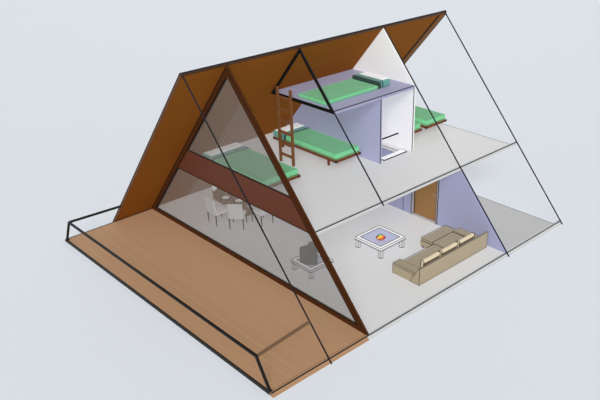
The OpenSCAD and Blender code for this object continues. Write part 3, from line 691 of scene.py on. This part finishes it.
def banded(obj, axis, bands):
    """The dark bands of a blanket, between places along an axis; the one beside the pillow is painted shadow.
    """
    obj.data.materials.append(MAT["blanket_hem_and_shade"])
    for face in obj.data.polygons:
        face.material_index = int(any(a < face.center[axis] < b for a, b in bands))


def piping(name, points, radius, material, slot):
    """A welt sewn along an edge, as a thin closed tube through the points."""
    curve = bpy.data.curves.new(name, "CURVE")
    curve.dimensions = "3D"
    curve.bevel_depth = radius
    curve.bevel_resolution = 2
    spline = curve.splines.new("POLY")
    spline.points.add(len(points) - 1)
    for target, point in zip(spline.points, points):
        target.co = (*point, 1)
    spline.use_cyclic_u = True
    drawn = add_object(name, curve)
    mesh = evaluated_mesh(drawn)
    bpy.data.objects.remove(drawn)
    bpy.data.curves.remove(curve)
    finish_piece(add_object(name, mesh), material, slot, smooth=True)


def round_loop(low, high, z, radius=0.03, inset=0.003):
    """The outline of a rounded rectangle at height z."""
    ends_x = low.x + inset + radius, high.x - inset - radius
    ends_y = low.y + inset + radius, high.y - inset - radius
    loop = []
    for i, j, first in ((1, 0, -90), (1, 1, 0), (0, 1, 90), (0, 0, 180)):
        for k in range(5):
            t = radians(first + 22.5 * k)
            loop.append((ends_x[i] + radius * cos(t), ends_y[j] + radius * sin(t), z))
    return loop


# Building finishes

OWN_FINISH = {
    "ground_floor": "ground_finish", "deck_edge_boards": "deck_edge", "floor_edge_beam": "floor_edge",
    "loft_edge_beam": "floor_edge", "left_front_bargeboard": "bargeboard_paint", "ridge_beam": "ridge_paint",
    "glazing_bottom_rail": "frame_stain_level", "mezzanine_floor": "lilac_floor",
    "loft_partition": "loft_partition_lightened_lilac", "door_frame": "door_frame_paint",
    "side_rails": "side_rail_paint"}

# A node without a finish of its own takes the one that is named as its slot
for node, obj in NODES.items():
    for coat in obj.material_slots:
        coat.material = MAT[OWN_FINISH.get(node, coat.material.name)]


# Outside of the closed roof

ROOF_FOOT = Vector((-slope_x(0.0, 0.1), 0, 0.0))


def on_roof(*places):
    """X and Z of places on the closed slope, given as a way up it and a height off it."""
    return [(p.x, p.z) for p in (ROOF_FOOT + UP_SLOPE * up + OUT_SLOPE * out for up, out in places)]


def roof_boards():
    """Feather-edged boards that overlap up the closed slope, in lengths with staggered joints."""
    bm = bmesh.new()
    for row, joints in enumerate(((0.0, 3.6, 7.2, 10.5), (0.0, 2.1, 5.7, 9.3, 10.5))):
        foot = BOARD_START + BOARD_STEP * row
        head = foot + BOARD_STEP + 0.025
        profile = on_roof((foot, 0), (foot, 0.018), (head, 0.011), (head, 0))
        for y0, y1 in zip(joints, joints[1:]):
            add_prism(bm, profile, ROOF_LOW.y + y0 + 0.002, ROOF_LOW.y + y1 - 0.002)
    values = {"Count": BOARD_ROWS // 2, "Step": tuple(UP_SLOPE * BOARD_STEP * 2)}
    repeated(object_from("roof_boards", bm), ROWS, values, "roof_boards", "roof_lining")


def ridge_capping():
    """A folded strip that covers the top boards below the ridge beam."""
    bm = bmesh.new()
    foot, head = ROOF_LENGTH - 0.15, ROOF_LENGTH - 0.008
    profile = on_roof((foot, 0.010), (foot, 0.019), (head, 0.022), (head, 0.010))
    add_prism(bm, profile, ROOF_LOW.y - 0.01, ROOF_HIGH.y)
    piece("ridge_capping", bm, "black_paint")


roof_boards()
ridge_capping()


# Dark edging, beads and seams

TRIM, SKIM = 0.008, 0.0003
HATCH_WIDTH, HATCH_LENGTH = 0.91, 0.93
BATTEN_X = 1.06


def slope_strip(bm, z0, z1, off0, off1, y0, y1, side=1):
    """A strip that follows a slope between two heights and two offsets along its normal."""
    corners = ((z0, off0), (z0, off1), (z1, off1), (z1, off0))
    add_prism(bm, [(side * slope_x(z, off), z) for z, off in corners], y0, y1)


def edging():
    """Slender dark strips on the free edges of the walls, the floors and the mezzanine."""
    bm = bmesh.new()
    for node in ("loft_partition", "loft_wall"):
        low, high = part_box(node)
        add_box(bm, (high.x, low.y, LOFT_Z), (high.x + TRIM, low.y + 0.035, high.z))
    low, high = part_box("mezzanine_floor")
    slope_strip(bm, high.z - 0.022, high.z, -SKIM, TRIM, low.y, high.y)
    for node in ("ground_floor", "loft_floor"):
        low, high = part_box(node)
        add_box(bm, (low.x + 0.02, high.y - 0.022, high.z), (high.x - 0.02, high.y - 0.001, high.z + 0.003))
    piece("dark_edging", bm, "dark_edging", "blue_grey_paint")


def verge_trim():
    """A cover board and a dark strip inside the closed slope, beside the rear verge board."""
    storeys = (FLOOR_Z + 0.002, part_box("loft_floor")[0].z - 0.002), (LOFT_Z + 0.002, RIDGE_Z - 0.03)
    for name, y0, y1, material in (
            ("verge_cover", VERGE_HIGH.y - 0.255, VERGE_LOW.y, "verge_board"),
            ("verge_strip", VERGE_HIGH.y - 0.375, VERGE_HIGH.y - 0.256, "verge_line")):
        bm = bmesh.new()
        for z0, z1 in storeys:
            slope_strip(bm, z0, z1, -TRIM, -SKIM, y0, y1 - 0.001, -1)
        piece(name, bm, material, "verge_board")


def wall_batten():
    """A batten on the cross wall."""
    low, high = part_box("cross_wall_left")
    bm = bmesh.new()
    add_box(bm, (BATTEN_X, low.y - TRIM, FLOOR_Z), (BATTEN_X + 0.022, low.y, high.z))
    piece("wall_batten", bm, "wall_batten", "lilac_panel")


def hatch_edging():
    """Dark strips on the floor round the hatch, and on the edges of the board beside it."""
    low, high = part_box("hatch_board")
    wide, top, edge = 0.025, LOFT_Z + 0.005, 0.016
    x, y = low.x - HATCH_WIDTH, low.y + HATCH_LENGTH
    bm = bmesh.new()
    for x0, y0, x1, y1, z in (
            (x - wide, low.y - wide, low.x, low.y, top), (x - wide, y, low.x, y + wide, top),
            (x - wide, low.y, x, y, top), (low.x, low.y - edge, high.x + edge, low.y, high.z),
            (low.x, high.y, high.x + edge, high.y + edge, high.z),
            (high.x, low.y, high.x + edge, high.y, high.z)):
        add_box(bm, (x0, y0, LOFT_Z), (x1, y1, z))
    piece("hatch_edging", bm, "black_paint", "blue_grey_paint")


def door_lines():
    """Dark beads on the faces and stops of the door frame, and a lock plate on the leaf's rear face."""
    low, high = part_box("door_frame")
    leaf_low, leaf_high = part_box("door_leaf")
    wall_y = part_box("cross_wall_right")[1].y
    left, right, head = low.x + 0.020, high.x - 0.036, high.z - 0.002
    bm = bmesh.new()
    for y0, y1 in ((low.y - 0.006, low.y), (wall_y + 0.01, wall_y + 0.0155)):
        for x0, x1 in ((low.x + 0.002, left), (low.x + 0.046, low.x + 0.060),
                       (high.x - 0.083, high.x - 0.071), (right, high.x - 0.002)):
            add_box(bm, (x0, y0, FLOOR_Z), (x1, y1, head))
        add_box(bm, (left, y0, high.z - 0.018), (right, y1, head))
    for x in (low.x + 0.085, high.x - 0.0885):
        add_box(bm, (x, leaf_low.y - 0.045, FLOOR_Z + 0.021),
                (x + 0.0035, leaf_low.y - 0.006, high.z - 0.086))
    piece("door_frame_beads", bm, "black_paint", "blue_grey_paint")
    bm = bmesh.new()
    x, z = leaf_high.x - 0.06, sum(corner.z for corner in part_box("door_handle")) / 2
    add_box(bm, (x - 0.022, leaf_high.y - 0.0005, z - 0.14), (x + 0.022, leaf_high.y + 0.003, z + 0.05))
    piece("lock_plate", bm, "handle_metal", body="door")


def glazing_beads():
    """Beads that hold the glass, along the stiles, the bottom rail and the guard panel, on both faces."""
    bm = bmesh.new()
    stile, bead = 0.18, 0.018
    guard_low, guard_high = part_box("guard_panel")
    rail_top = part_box("glazing_bottom_rail")[1].z
    low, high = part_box("glazing_stiles")
    peak = RIDGE_Z - (stile + bead) / cos(SLOPE) - 0.03
    for y0, y1 in ((-0.032, -0.012), (0.012, 0.032)):
        for side in (1, -1):
            for z0, z1 in ((rail_top, guard_low.z), (guard_high.z, peak)):
                slope_strip(bm, z0, z1, -stile - bead, -stile - SKIM, y0, y1, side)
        for z, level in ((rail_top, rail_top + bead), (guard_high.z, guard_high.z + bead),
                         (guard_low.z - bead, guard_low.z)):
            half = slope_x(level, -stile - bead)
            add_box(bm, (-half, y0, z), (half, y1, z + bead))
    for y0, y1 in ((low.y - 0.004, low.y), (high.y, high.y + 0.004)):
        for side in (1, -1):
            slope_strip(bm, FLOOR_Z + 0.002, high.z - 0.06, -0.026, -0.002, y0, y1, side)
            slope_strip(bm, rail_top, high.z - 0.35, -stile + 0.001, -stile + 0.020, y0, y1, side)
    piece("glazing_beads", bm, "bead_stain", "frame_stain")


edging()
verge_trim()
wall_batten()
hatch_edging()
door_lines()
glazing_beads()


# Fixings

POST_X, DECK_Y, PLATE = HALF_W - 0.09, -3.2, 0.010
RUNG_STEP = 0.37


def post_plates():
    """A foot plate under each corner post of the railing, with four bolts."""
    bm = bmesh.new()
    places = []
    for x in (-POST_X, POST_X):
        add_box(bm, (x - 0.085, DECK_Y + 0.002, FLOOR_Z), (x + 0.07, DECK_Y + 0.09, FLOOR_Z + PLATE))
        for across in (-0.055, 0.055):
            for y in (DECK_Y + 0.05, DECK_Y + 0.07):
                places.append(((x + across, y, FLOOR_Z + PLATE), (0, 0, 1)))
    piece("post_plates", bm, "railing_paint")
    bolts("post_bolts", places, "railing_paint", 0.007, 0.006)


def truss_bolts():
    """Bolts at the ends of the truss's chords and of its tie beam."""
    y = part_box("mezzanine_truss")[0].y
    places = []
    for side in (-1, 1):
        for z in (MEZZ_Z + 0.06, MEZZ_Z + 0.14, RIDGE_Z - 0.16):
            places.append(((side * slope_x(z, -0.035), y, z), (0, -1, 0)))
        places.append(((side * (slope_x(MEZZ_Z - 0.04) - 0.14), y, MEZZ_Z - 0.04), (0, -1, 0)))
    bolts("truss_bolts", places, "black_paint", 0.011, 0.007)


def ladder_bolts():
    """A bolt at each end of each rung, on the outside of the ladder's stiles."""
    low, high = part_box("ladder")
    places = []
    z = LOFT_Z + 0.275
    while z < high.z - 0.05:
        places += [((x, (low.y + high.y) / 2, z), (way, 0, 0)) for x, way in ((low.x, -1), (high.x, 1))]
        z += RUNG_STEP
    bolts("ladder_bolts", places, "ladder_stain", 0.009, 0.005)


post_plates()
truss_bolts()
ladder_bolts()


# Beds

rounded_node("bed_frames", 0.004, "bed_frame_stain")
FOLDED_END, FLAT_TOP = 0.54, MEZZ_Z + 0.13


def bed_corners():
    """Dark corner blocks that join the rails of each bed."""
    bm = bmesh.new()
    block, proud = 0.06, 0.006
    for low, high, _ in islands("bed_frames"):
        for x in (low.x - proud, high.x + proud - block):
            for y in (low.y - proud, high.y + proud - block):
                add_box(bm, (x, y, low.z - 0.004), (x + block, y + block, high.z - 0.001))
    obj = bevelled(object_from("bed_corners", bm), 0.008, 3)
    finish_piece(obj, "bed_corner_stain", "bed_frame_stain", angle=35)


def welt(name, low, high, z):
    piping(name, round_loop(low, high, z), 0.005, "mattress_welt", "mattress_cover")


def made_bed(number, low, high):
    """A mattress with two welts and a blanket laid over its head."""
    cover = padded_block(f"mattress_{number}", low, high, "mattress_cover", "mattress_cover")
    welt(f"mattress_welt_top_{number}", low, high, high.z - 0.03)
    welt(f"mattress_welt_foot_{number}", low, high, low.z + 0.014)
    laid_blanket(f"blanket_{number}", low, high)
    return cover


def made_floor_bed(number, low, high, pillow_y):
    """The mezzanine's mattress, with its bedding folded into a raised head end."""
    fold = high.y - FOLDED_END
    flat = Vector((high.x, fold - 0.002, FLAT_TOP))
    cover = padded_block(f"mattress_{number}", low, flat, "mattress_cover", "mattress_cover")
    welt(f"mattress_welt_top_{number}", low, flat, flat.z - 0.03)
    head = padded_block(f"folded_bedding_{number}", Vector((low.x, fold, low.z)), high, "blanket",
                        "mattress_cover", voxel=0.026, shrink=0.006, edge=0.02)
    # The band just before the pillow is painted shadow of the pillow's edge
    banded(head, 1, ((fold - 1, fold + 0.085), (pillow_y - 0.035, pillow_y), (high.y - 0.022, high.y + 1)))
    return cover


bed_corners()
PILLOWS = islands("pillows")
for number, (low, high, _) in enumerate(islands("mattresses"), 1):
    if low.z > MEZZ_Z - 0.05:
        made = made_floor_bed(number, low, high, PILLOWS[-1][0].y)
    else:
        made = made_bed(number, low, high)
    if number == 1:
        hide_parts("mattresses")

for number, (low, high, _) in enumerate(PILLOWS, 1):
    made = pillow(f"pillow_{number}", low + Vector((0, 0, 0.006)), high)
    if number == 1:
        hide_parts("pillows")


# Dining set

rounded_node("dining_table", 0.006, "table_stain", segments=3)
rounded_node("dining_chair_shells", 0.018, "chair_shell", segments=3)
TABLE_LOW, TABLE_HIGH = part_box("dining_table")
SHADOW_MAT_THICK = 0.004
PLATE_PROFILE = [(0, 0), (0.075, 0), (0.085, 0.004), (0.128, 0.014), (0.13, 0.017), (0.127, 0.018),
                 (0.086, 0.009), (0.075, 0.006), (0, 0.006)]
CUP_PROFILE = [(0, 0), (0.028, 0), (0.036, 0.012), (0.042, 0.075), (0.040, 0.075), (0.034, 0.014),
               (0.026, 0.006), (0, 0.006)]
CUP_PLACE = (-3.08, 1.69, TABLE_HIGH.z)


def turned_legs():
    """Tapered legs of the chairs, with a thin foot each."""
    bm = bmesh.new()
    for low, high, _ in islands("dining_chair_legs"):
        h = high.z - low.z
        profile = [(0, 0), (0.014, 0), (0.0155, 0.004), (0.0235, h - 0.07), (0.0255, h - 0.03), (0.0255, h),
                   (0, h)]
        add_lathe(bm, ((low.x + high.x) / 2, (low.y + high.y) / 2, low.z), profile, 16)
    piece("dining_chair_turned_legs", bm, "chair_legs", angle=35, node="dining_chair_legs")


def table_things():
    """Plates with rims where each chair stands, each on a dark disc shaped as a mat that is painted shadow
    round its rim, and a cup.
    """
    plates, shadow_mats = bmesh.new(), bmesh.new()
    for t in (radians(angle) for angle in (-94, -48, -2, 180)):
        x, y = ((a + b) / 2 + 0.68 * way(t) for a, b, way in zip(TABLE_LOW, TABLE_HIGH, (cos, sin)))
        add_lathe(shadow_mats, (x, y, TABLE_HIGH.z), [(0, 0), (0.19, 0), (0.19, SHADOW_MAT_THICK), (0, SHADOW_MAT_THICK)], 40)
        add_lathe(plates, (x, y, TABLE_HIGH.z + SHADOW_MAT_THICK), PLATE_PROFILE, 40)
    add_lathe(plates, CUP_PLACE, CUP_PROFILE)
    piece("plates", plates, "tableware_glaze", smooth=True, node="tableware")
    piece("place_mats", shadow_mats, "place_mats", "table_stain")


turned_legs()
table_things()


# Low tables, bowl, television

rounded_node("low_table_frames", 0.005, "low_table_paint")
BOWL_PROFILE = [(0, 0), (0.06, 0), (0.065, 0.006), (0.11, 0.03), (0.145, 0.078), (0.15, 0.08), (0.148, 0.084),
                (0.138, 0.08), (0.104, 0.038), (0.06, 0.014), (0, 0.012)]
# Place in the bowl, radius and skin of each fruit
FRUIT = ((0.062, -0.03, 0.078, 0.048, "orange_peel"), (-0.02, -0.066, 0.078, 0.046, "lemon_peel"),
         (-0.066, 0.0, 0.078, 0.044, "apple_skin"), (0.02, 0.064, 0.078, 0.046, "orange_peel"),
         (0.0, -0.004, 0.118, 0.044, "lemon_peel"))
LEG_RADIUS = 0.085
TELEVISION_TURN = radians(47)
TELEVISION_FOOT = Vector((1.74, 1.105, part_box("television")[0].z))


def square_ring(bm, low, high, width, z0, z1):
    """A flat ring along the inside of a rectangle."""
    for x0, x1, y0, y1 in ((low.x, high.x, low.y, low.y + width), (low.x, high.x, high.y - width, high.y),
                           (low.x, low.x + width, low.y + width, high.y - width),
                           (high.x - width, high.x, low.y + width, high.y - width)):
        add_box(bm, (x0, y0, z0), (x1, y1, z1))


def low_table_lines():
    """A shadow gap round each lacquered panel, lines round each top, and rings and flutes on the legs."""
    bm = bmesh.new()
    for low, high, _ in islands("low_table_tops"):
        square_ring(bm, low, high, 0.026, high.z, high.z + 0.0015)
    out = Vector((0.002, 0.002, 0))
    for low, high, _ in islands("low_table_frames"):
        square_ring(bm, low + out * 2, high - out * 2, 0.024, high.z, high.z + 0.0015)
        square_ring(bm, low - out, high + out, 0.002, high.z - 0.080, high.z - 0.058)
        for x in (low.x + LEG_RADIUS, high.x - LEG_RADIUS):
            for y in (low.y + LEG_RADIUS, high.y - LEG_RADIUS):
                rim, middle = LEG_RADIUS + 0.002, LEG_RADIUS - 0.008
                add_lathe(bm, (x, y, low.z), [(0, 0), (rim, 0), (rim, 0.018), (0, 0.018)], 48)
                for t in (radians(60 * turn + 16) for turn in range(6)):
                    spot = (x + middle * cos(t), y + middle * sin(t), low.z)
                    add_lathe(bm, spot, [(0, 0.01), (0.010, 0.01), (0.010, 0.285), (0, 0.285)], 16)
    piece("low_table_lines", bm, "dark_outline", "low_table_paint")


def handrail_grip():
    """The handrail beside the hatch: a round grip with a domed end, on a rose at the partition."""
    low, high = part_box("hatch_handrail")
    x, z, length = (low.x + high.x) / 2, (low.z + high.z) / 2, high.y - low.y
    bm = bmesh.new()
    add_lathe(bm, (0, 0, 0), [
        (0, 0), (0.048, 0), (0.048, 0.008), (0.044, 0.012), (0.026, 0.014), (0.020, 0.05), (0.024, 0.075),
        (0.024, length - 0.016), (0.0205, length - 0.006), (0.013, length - 0.001), (0, length)], 24)
    for vertex in bm.verts:
        vertex.co = Vector((x + vertex.co.x, low.y + vertex.co.z, z + vertex.co.y))
    piece("handrail_grip", bm, "railing_paint", angle=35, node="hatch_handrail")


def fruit_bowl():
    """A glazed bowl on a low table, with five fruits and four leaves in it."""
    low, high, _ = min(islands("tableware"), key=lambda s: s[0].z)
    foot = Vector(((low.x + high.x) / 2, (low.y + high.y) / 2, low.z))
    bm = bmesh.new()
    add_lathe(bm, foot, BOWL_PROFILE, 48)
    piece("fruit_bowl", bm, "bowl_glaze", "tableware_glaze", smooth=True)
    for number, (dx, dy, dz, radius, skin) in enumerate(FRUIT, 1):
        bm = bmesh.new()
        bmesh.ops.create_uvsphere(bm, u_segments=24, v_segments=16, radius=radius)
        for vertex in bm.verts:
            dimple = max(0.0, 1 - 3 * hypot(vertex.co.x, vertex.co.y) / radius)
            vertex.co.z *= 0.92 - 0.10 * dimple
            vertex.co += foot + Vector((dx, dy, dz))
        piece(f"fruit_{number}", bm, skin, "tableware_glaze", smooth=True)
    bm = bmesh.new()
    for t in (radians(turn) for turn in (100, 150, 200, 245)):
        out, side = Vector((cos(t), sin(t), 0)), Vector((-sin(t), cos(t), 0))
        rows = []
        for share in (k / 5 for k in range(6)):
            middle = foot + out * (0.035 + 0.085 * share) + Vector((0, 0, 0.085 + 0.075 * sin(1.9 * share)))
            half = 0.020 * sin(pi * (0.12 + 0.86 * share))
            rows.append([bm.verts.new(middle + side * half * v + Vector((0, 0, 0.25 * half * abs(v))))
                         for v in (-1, 0, 1)])
        add_skin(bm, rows, flip=True)
    leaves = modified(object_from("fruit_leaves", bm, recalculate=False), "SOLIDIFY", thickness=0.0015)
    finish_piece(leaves, "leaf_green", "tableware_glaze", smooth=True)


def beside_television(u, v, w):
    """A point given from the television's foot: forwards, sideways and up."""
    along, side = cos(TELEVISION_TURN), sin(TELEVISION_TURN)
    return TELEVISION_FOOT + Vector((along * u - side * v, side * u + along * v, w))


def television_slabs(name, slabs):
    """Thin slabs on the television, as (from, to) forwards, sideways and up."""
    bm = bmesh.new()
    for slab in slabs:
        add_box(bm, *zip(*slab), beside_television)
    piece(name, bm, "television_grille", "television_case")


def television_details():
    """Screen, bezel with knobs, back grille and side vents of the set."""
    bm = bmesh.new()
    rows = []
    for v in (-0.19 + 0.38 * i / 12 for i in range(13)):
        rows.append([])
        for w in (0.15 + 0.31 * j / 10 for j in range(11)):
            bulge = 0.012 * (1 - (v / 0.19) ** 2) * (1 - ((w - 0.305) / 0.155) ** 2)
            rows[-1].append(bm.verts.new(beside_television(0.2505 + bulge, v, w)))
    add_skin(bm, rows)
    bmesh.ops.contextual_create(bm, geom=[edge for edge in bm.edges if edge.is_boundary])
    piece("television_screen", bm, "television_screen", "television_case", smooth=True)
    front, inner, outer = (0.2495, 0.262), 0.19, 0.215
    bezel = [(front, (-outer, outer), (0.46, 0.485)), (front, (-outer, outer), (0.125, 0.15)),
             (front, (-outer, -inner), (0.15, 0.46)), (front, (inner, outer), (0.15, 0.46)),
             ((0.2495, 0.256), (-0.20, 0.20), (0.03, 0.10))]
    bezel += [((0.255, 0.266), (0.05 + 0.03 * k, 0.065 + 0.03 * k), (0.055, 0.075)) for k in range(5)]
    television_slabs("television_bezel", bezel)
    grille = [((-0.2622, -0.2595), (-0.06, 0.06), (0.09 + 0.032 * k, 0.098 + 0.032 * k)) for k in range(9)]
    for u in (0.03 + 0.025 * k for k in range(8)):
        grille += [((u, u + 0.01), (v, v + 0.002), (0.33, 0.46)) for v in (-0.2415, 0.2395)]
    television_slabs("television_grille", grille)


low_table_lines()
handrail_grip()
fruit_bowl()
rounded_node("television", 0.012, "television_case", segments=3)
television_details()


# Sofa

SOFA_LOW, SOFA_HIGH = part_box("sofa_frame")
SEAT_X, SEAT_Y0, SEAT_Y1 = SOFA_HIGH.x - 0.94, SOFA_LOW.y + 0.33, SOFA_HIGH.y - 0.42
ARM_X, ARM_Z, SEAT_Z = SOFA_HIGH.x - 1.04, FLOOR_Z + 0.35, FLOOR_Z + 0.22
CHAISE_Y0, CHAISE_Y1 = SEAT_Y0 + (SEAT_Y1 - SEAT_Y0) * 0.59, SOFA_HIGH.y - 0.22
ARMS = ((SOFA_LOW.y, SEAT_Y0), (SEAT_Y1, SOFA_HIGH.y - 0.09))
FOOT_Z, FOOT = FLOOR_Z + 0.05, 0.08


def add_rounded(bm, low, high, radius, profile=None, segments=3):
    """A box, or a profile drawn out along Y, with rounded edges, added to a mesh."""
    part = bmesh.new()
    if profile:
        add_prism(part, profile, low[1], high[1])
    else:
        add_box(part, low, high)
    bmesh.ops.recalc_face_normals(part, faces=part.faces)
    bmesh.ops.bevel(part, geom=part.edges[:], offset=radius, segments=segments, profile=0.5, affect="EDGES")
    mesh = bpy.data.meshes.new("part")
    part.to_mesh(mesh)
    part.free()
    bm.from_mesh(mesh)
    bpy.data.meshes.remove(mesh)


def back_x(z):
    """Inner face of the sofa's sloping back at height z."""
    return SOFA_HIGH.x - 0.37 + 0.32 * (z - FLOOR_Z) / 0.55


def sofa_body():
    """Upholstered base, chaise, back and two arms with a padded top each, on feet."""
    bm = bmesh.new()
    inset, top, base_x = 0.004, SOFA_HIGH.z - 0.002, back_x(FLOOR_Z) + 0.05
    rear = SOFA_HIGH.x - inset
    back = [(back_x(FLOOR_Z) + inset, FLOOR_Z), (rear, FLOOR_Z), (rear, top),
            (back_x(SOFA_HIGH.z) + inset, top)]
    add_rounded(bm, (0, SOFA_LOW.y + inset, 0), (0, SOFA_HIGH.y - inset, 0), 0.014, profile=back)
    for y0, y1 in ARMS:
        add_rounded(bm, (ARM_X + 0.008, y0 + 0.006, FLOOR_Z), (base_x, y1 - 0.006, ARM_Z - 0.060), 0.014)
        add_rounded(bm, (ARM_X, y0 + 0.001, ARM_Z - 0.064), (back_x(ARM_Z) + 0.01, y1 - 0.001, ARM_Z), 0.022,
                    segments=4)
    add_rounded(bm, (SEAT_X, SEAT_Y0 - 0.01, FOOT_Z), (base_x, SEAT_Y1 + 0.01, SEAT_Z - 0.001), 0.01)
    add_rounded(bm, (SOFA_LOW.x, CHAISE_Y0, FOOT_Z), (SEAT_X + 0.05, CHAISE_Y1, SEAT_Z - 0.001), 0.01)
    piece("sofa_body", bm, "sofa_cover", angle=50, node="sofa_frame")
    bm = bmesh.new()
    for x, y in ((SOFA_LOW.x + 0.05, CHAISE_Y0 + 0.01), (SOFA_LOW.x + 0.05, CHAISE_Y1 - 0.10),
                 (SEAT_X + 0.02, SEAT_Y0 + 0.25), (SEAT_X + 0.02, SEAT_Y0 + 1.2)):
        add_rounded(bm, (x, y, FLOOR_Z), (x + FOOT, y + FOOT, FOOT_Z + 0.002), 0.006)
    piece("sofa_feet", bm, "sofa_foot_paint", "sofa_cover")


def rounded_ring(corners, middle, y, radius=0.03, out=0.006):
    """A loop with round corners round a profile in X and Z, a little outside it."""
    loop = []
    for i, corner in enumerate(corners):
        here = Vector(corner)
        a, b = (here + (Vector(other) - here).normalized() * radius
                for other in (corners[i - 1], corners[(i + 1) % len(corners)]))
        for f in (k / 4 for k in range(5)):
            point = a * (1 - f) ** 2 + here * 2 * f * (1 - f) + b * f ** 2
            point += (point - middle).normalized() * out
            loop.append((point.x, y, point.y))
    return loop


def sofa_cushions():
    """Seat cushions as blocks and back cushions as leaning wedges, each with two dark welts."""
    for number, (low, high, points) in enumerate(islands("sofa_cushions"), 1):
        corners = sorted({(round(p.x, 4), round(p.z, 4)) for p in points})
        if len({x for x, _ in corners}) > 2:
            cx, cz = sum(x for x, _ in corners) / 4, sum(z for _, z in corners) / 4
            ring = sorted(corners, key=lambda c: atan2(c[1] - cz, c[0] - cx))
            ring = [(cx - 0.006 + (x - cx) * 0.80, cz + (z - cz) * 0.95) for x, z in ring]
            made = padded_block(f"back_cushion_{number}", low, high, "sofa_back_cushion_cover", "sofa_cover",
                                0.016, 0.02, 0.034, 0.03, ring)
            welts = [(f"back_welt_{end}_{number}", rounded_ring(ring, Vector((cx, cz)), y))
                     for end, y in (("near", low.y + 0.036), ("far", high.y - 0.036))]
        else:
            made = padded_block(f"seat_cushion_{number}", low, high, "sofa_cushion_cover", "sofa_cover",
                                0.014, 0.02, 0.008, 0.022)
            welts = [(f"seat_welt_{level}_{number}", round_loop(low, high, z, radius=0.025))
                     for level, z in (("top", high.z - 0.012), ("foot", low.z + 0.012))]
        for name, loop in welts:
            piping(name, loop, 0.009, "sofa_piping", "sofa_cover")
        if number == 1:
            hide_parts("sofa_cushions")


def sofa_welts():
    """Dark welts along the seams of the back and the arms."""
    e = 0.009
    x, foot, top, back = SOFA_HIGH.x - e, FLOOR_Z + 0.01, SOFA_HIGH.z - e, back_x(SOFA_HIGH.z)
    near, far = SOFA_LOW.y + e, SOFA_HIGH.y - e
    loops = [[(x, near, foot), (x, far, foot), (x, far, top), (x, near, top)]]
    for y in (near, far):
        loops.append([(back_x(FLOOR_Z) + 0.012, y, foot), (x, y, foot), (x, y, top), (back + 0.008, y, top)])
    loops.append([(back + 0.006, near, top), (x, near, top), (x, far, top), (back + 0.006, far, top)])
    for y0, y1 in ARMS:
        for z in (ARM_Z - 0.008, ARM_Z - 0.062):
            loops.append([(ARM_X + e, y0 + e, z), (ARM_X + e, y1 - e, z),
                          (back_x(z) + 0.02, y1 - e, z), (back_x(z) + 0.02, y0 + e, z)])
        face, under = ARM_X + 0.012, ARM_Z - 0.066
        loops.append([(face, y0 + 0.010, foot), (face, y1 - 0.010, foot),
                      (face, y1 - 0.010, under), (face, y0 + 0.010, under)])
    for number, loop in enumerate(loops, 1):
        piping(f"sofa_welt_{number}", loop, 0.010, "sofa_piping", "sofa_cover")


sofa_body()
sofa_cushions()
sofa_welts()


# Camera, lights, floor

PICTURE_WIDTH, FOCAL_PIXELS, SENSOR = 600, 735.225, 36
FLOOR_REACH = 150

camera_data = bpy.data.cameras.new("camera")
camera_data.sensor_width = SENSOR
camera_data.lens = FOCAL_PIXELS * SENSOR / PICTURE_WIDTH
camera_data.shift_x = -0.05995
camera_data.shift_y = 0.04885
camera_data.clip_end = 200
camera = add_object("camera", camera_data)
camera.location = (15.9887, -11.0869, 11.2931)
camera.rotation_euler = (radians(90 - 27.7714), radians(0.8595), radians(46.5082))
SCENE.camera = camera

# The world lights the cabin evenly, and is a pale backdrop seen directly, in gloss and through glass
world = bpy.data.worlds.new("studio")
world.use_nodes = True
sky = world.node_tree
fill(sky.nodes["Background"], {"Color": (1, 1, 1, 1), "Strength": 0.30})
backdrop = add_node(sky, "ShaderNodeBackground", {"Color": rgb(218, 223, 229)})
ray = add_node(sky, "ShaderNodeLightPath", {})
seen = ray["Is Camera Ray"].math("MAXIMUM", ray["Is Glossy Ray"]).math("MAXIMUM", ray["Is Transmission Ray"])
even_light = Wire(sky.nodes["Background"].outputs[0])
mix = add_node(sky, "ShaderNodeMixShader", {0: seen, 1: even_light, 2: backdrop})
fill(sky.nodes["World Output"], {"Surface": mix})
SCENE.world = world

# Lamps: strength, softness in degrees, the way they shine from, and whether they cast shadows
for name, strength, angle, azimuth, elevation, shadow in (
        ("key", 1.1, 18, 42, 32, True), ("top", 1.5, 40, 60, 75, False),
        ("bounce_front", 1.12, 40, -15, -5, False), ("bounce_side", 1.12, 40, 105, -5, False),
        ("rear", 0.9, 40, 225, 10, False)):
    lamp_data = bpy.data.lights.new(name, "SUN")
    lamp_data.energy = strength
    lamp_data.angle = radians(angle)
    lamp_data.use_shadow = shadow
    add_object(name, lamp_data).rotation_euler = (radians(90 - elevation), 0, radians(azimuth))

floor_mesh = bpy.data.meshes.new("studio_floor")
floor_corners = [(x * FLOOR_REACH, y * FLOOR_REACH, -0.002) for x, y in ((-1, -1), (1, -1), (1, 1), (-1, 1))]
floor_mesh.from_pydata(floor_corners, [], [(0, 1, 2, 3)])
studio = bpy.data.materials.new("studio_floor")
studio.use_nodes = True
fill(studio.node_tree.nodes["Principled BSDF"], {"Base Color": rgb(214, 219, 225), "Roughness": 0.9})
floor_mesh.materials.append(studio)
add_object("studio_floor", floor_mesh)

SCENE.view_settings.view_transform = "Standard"
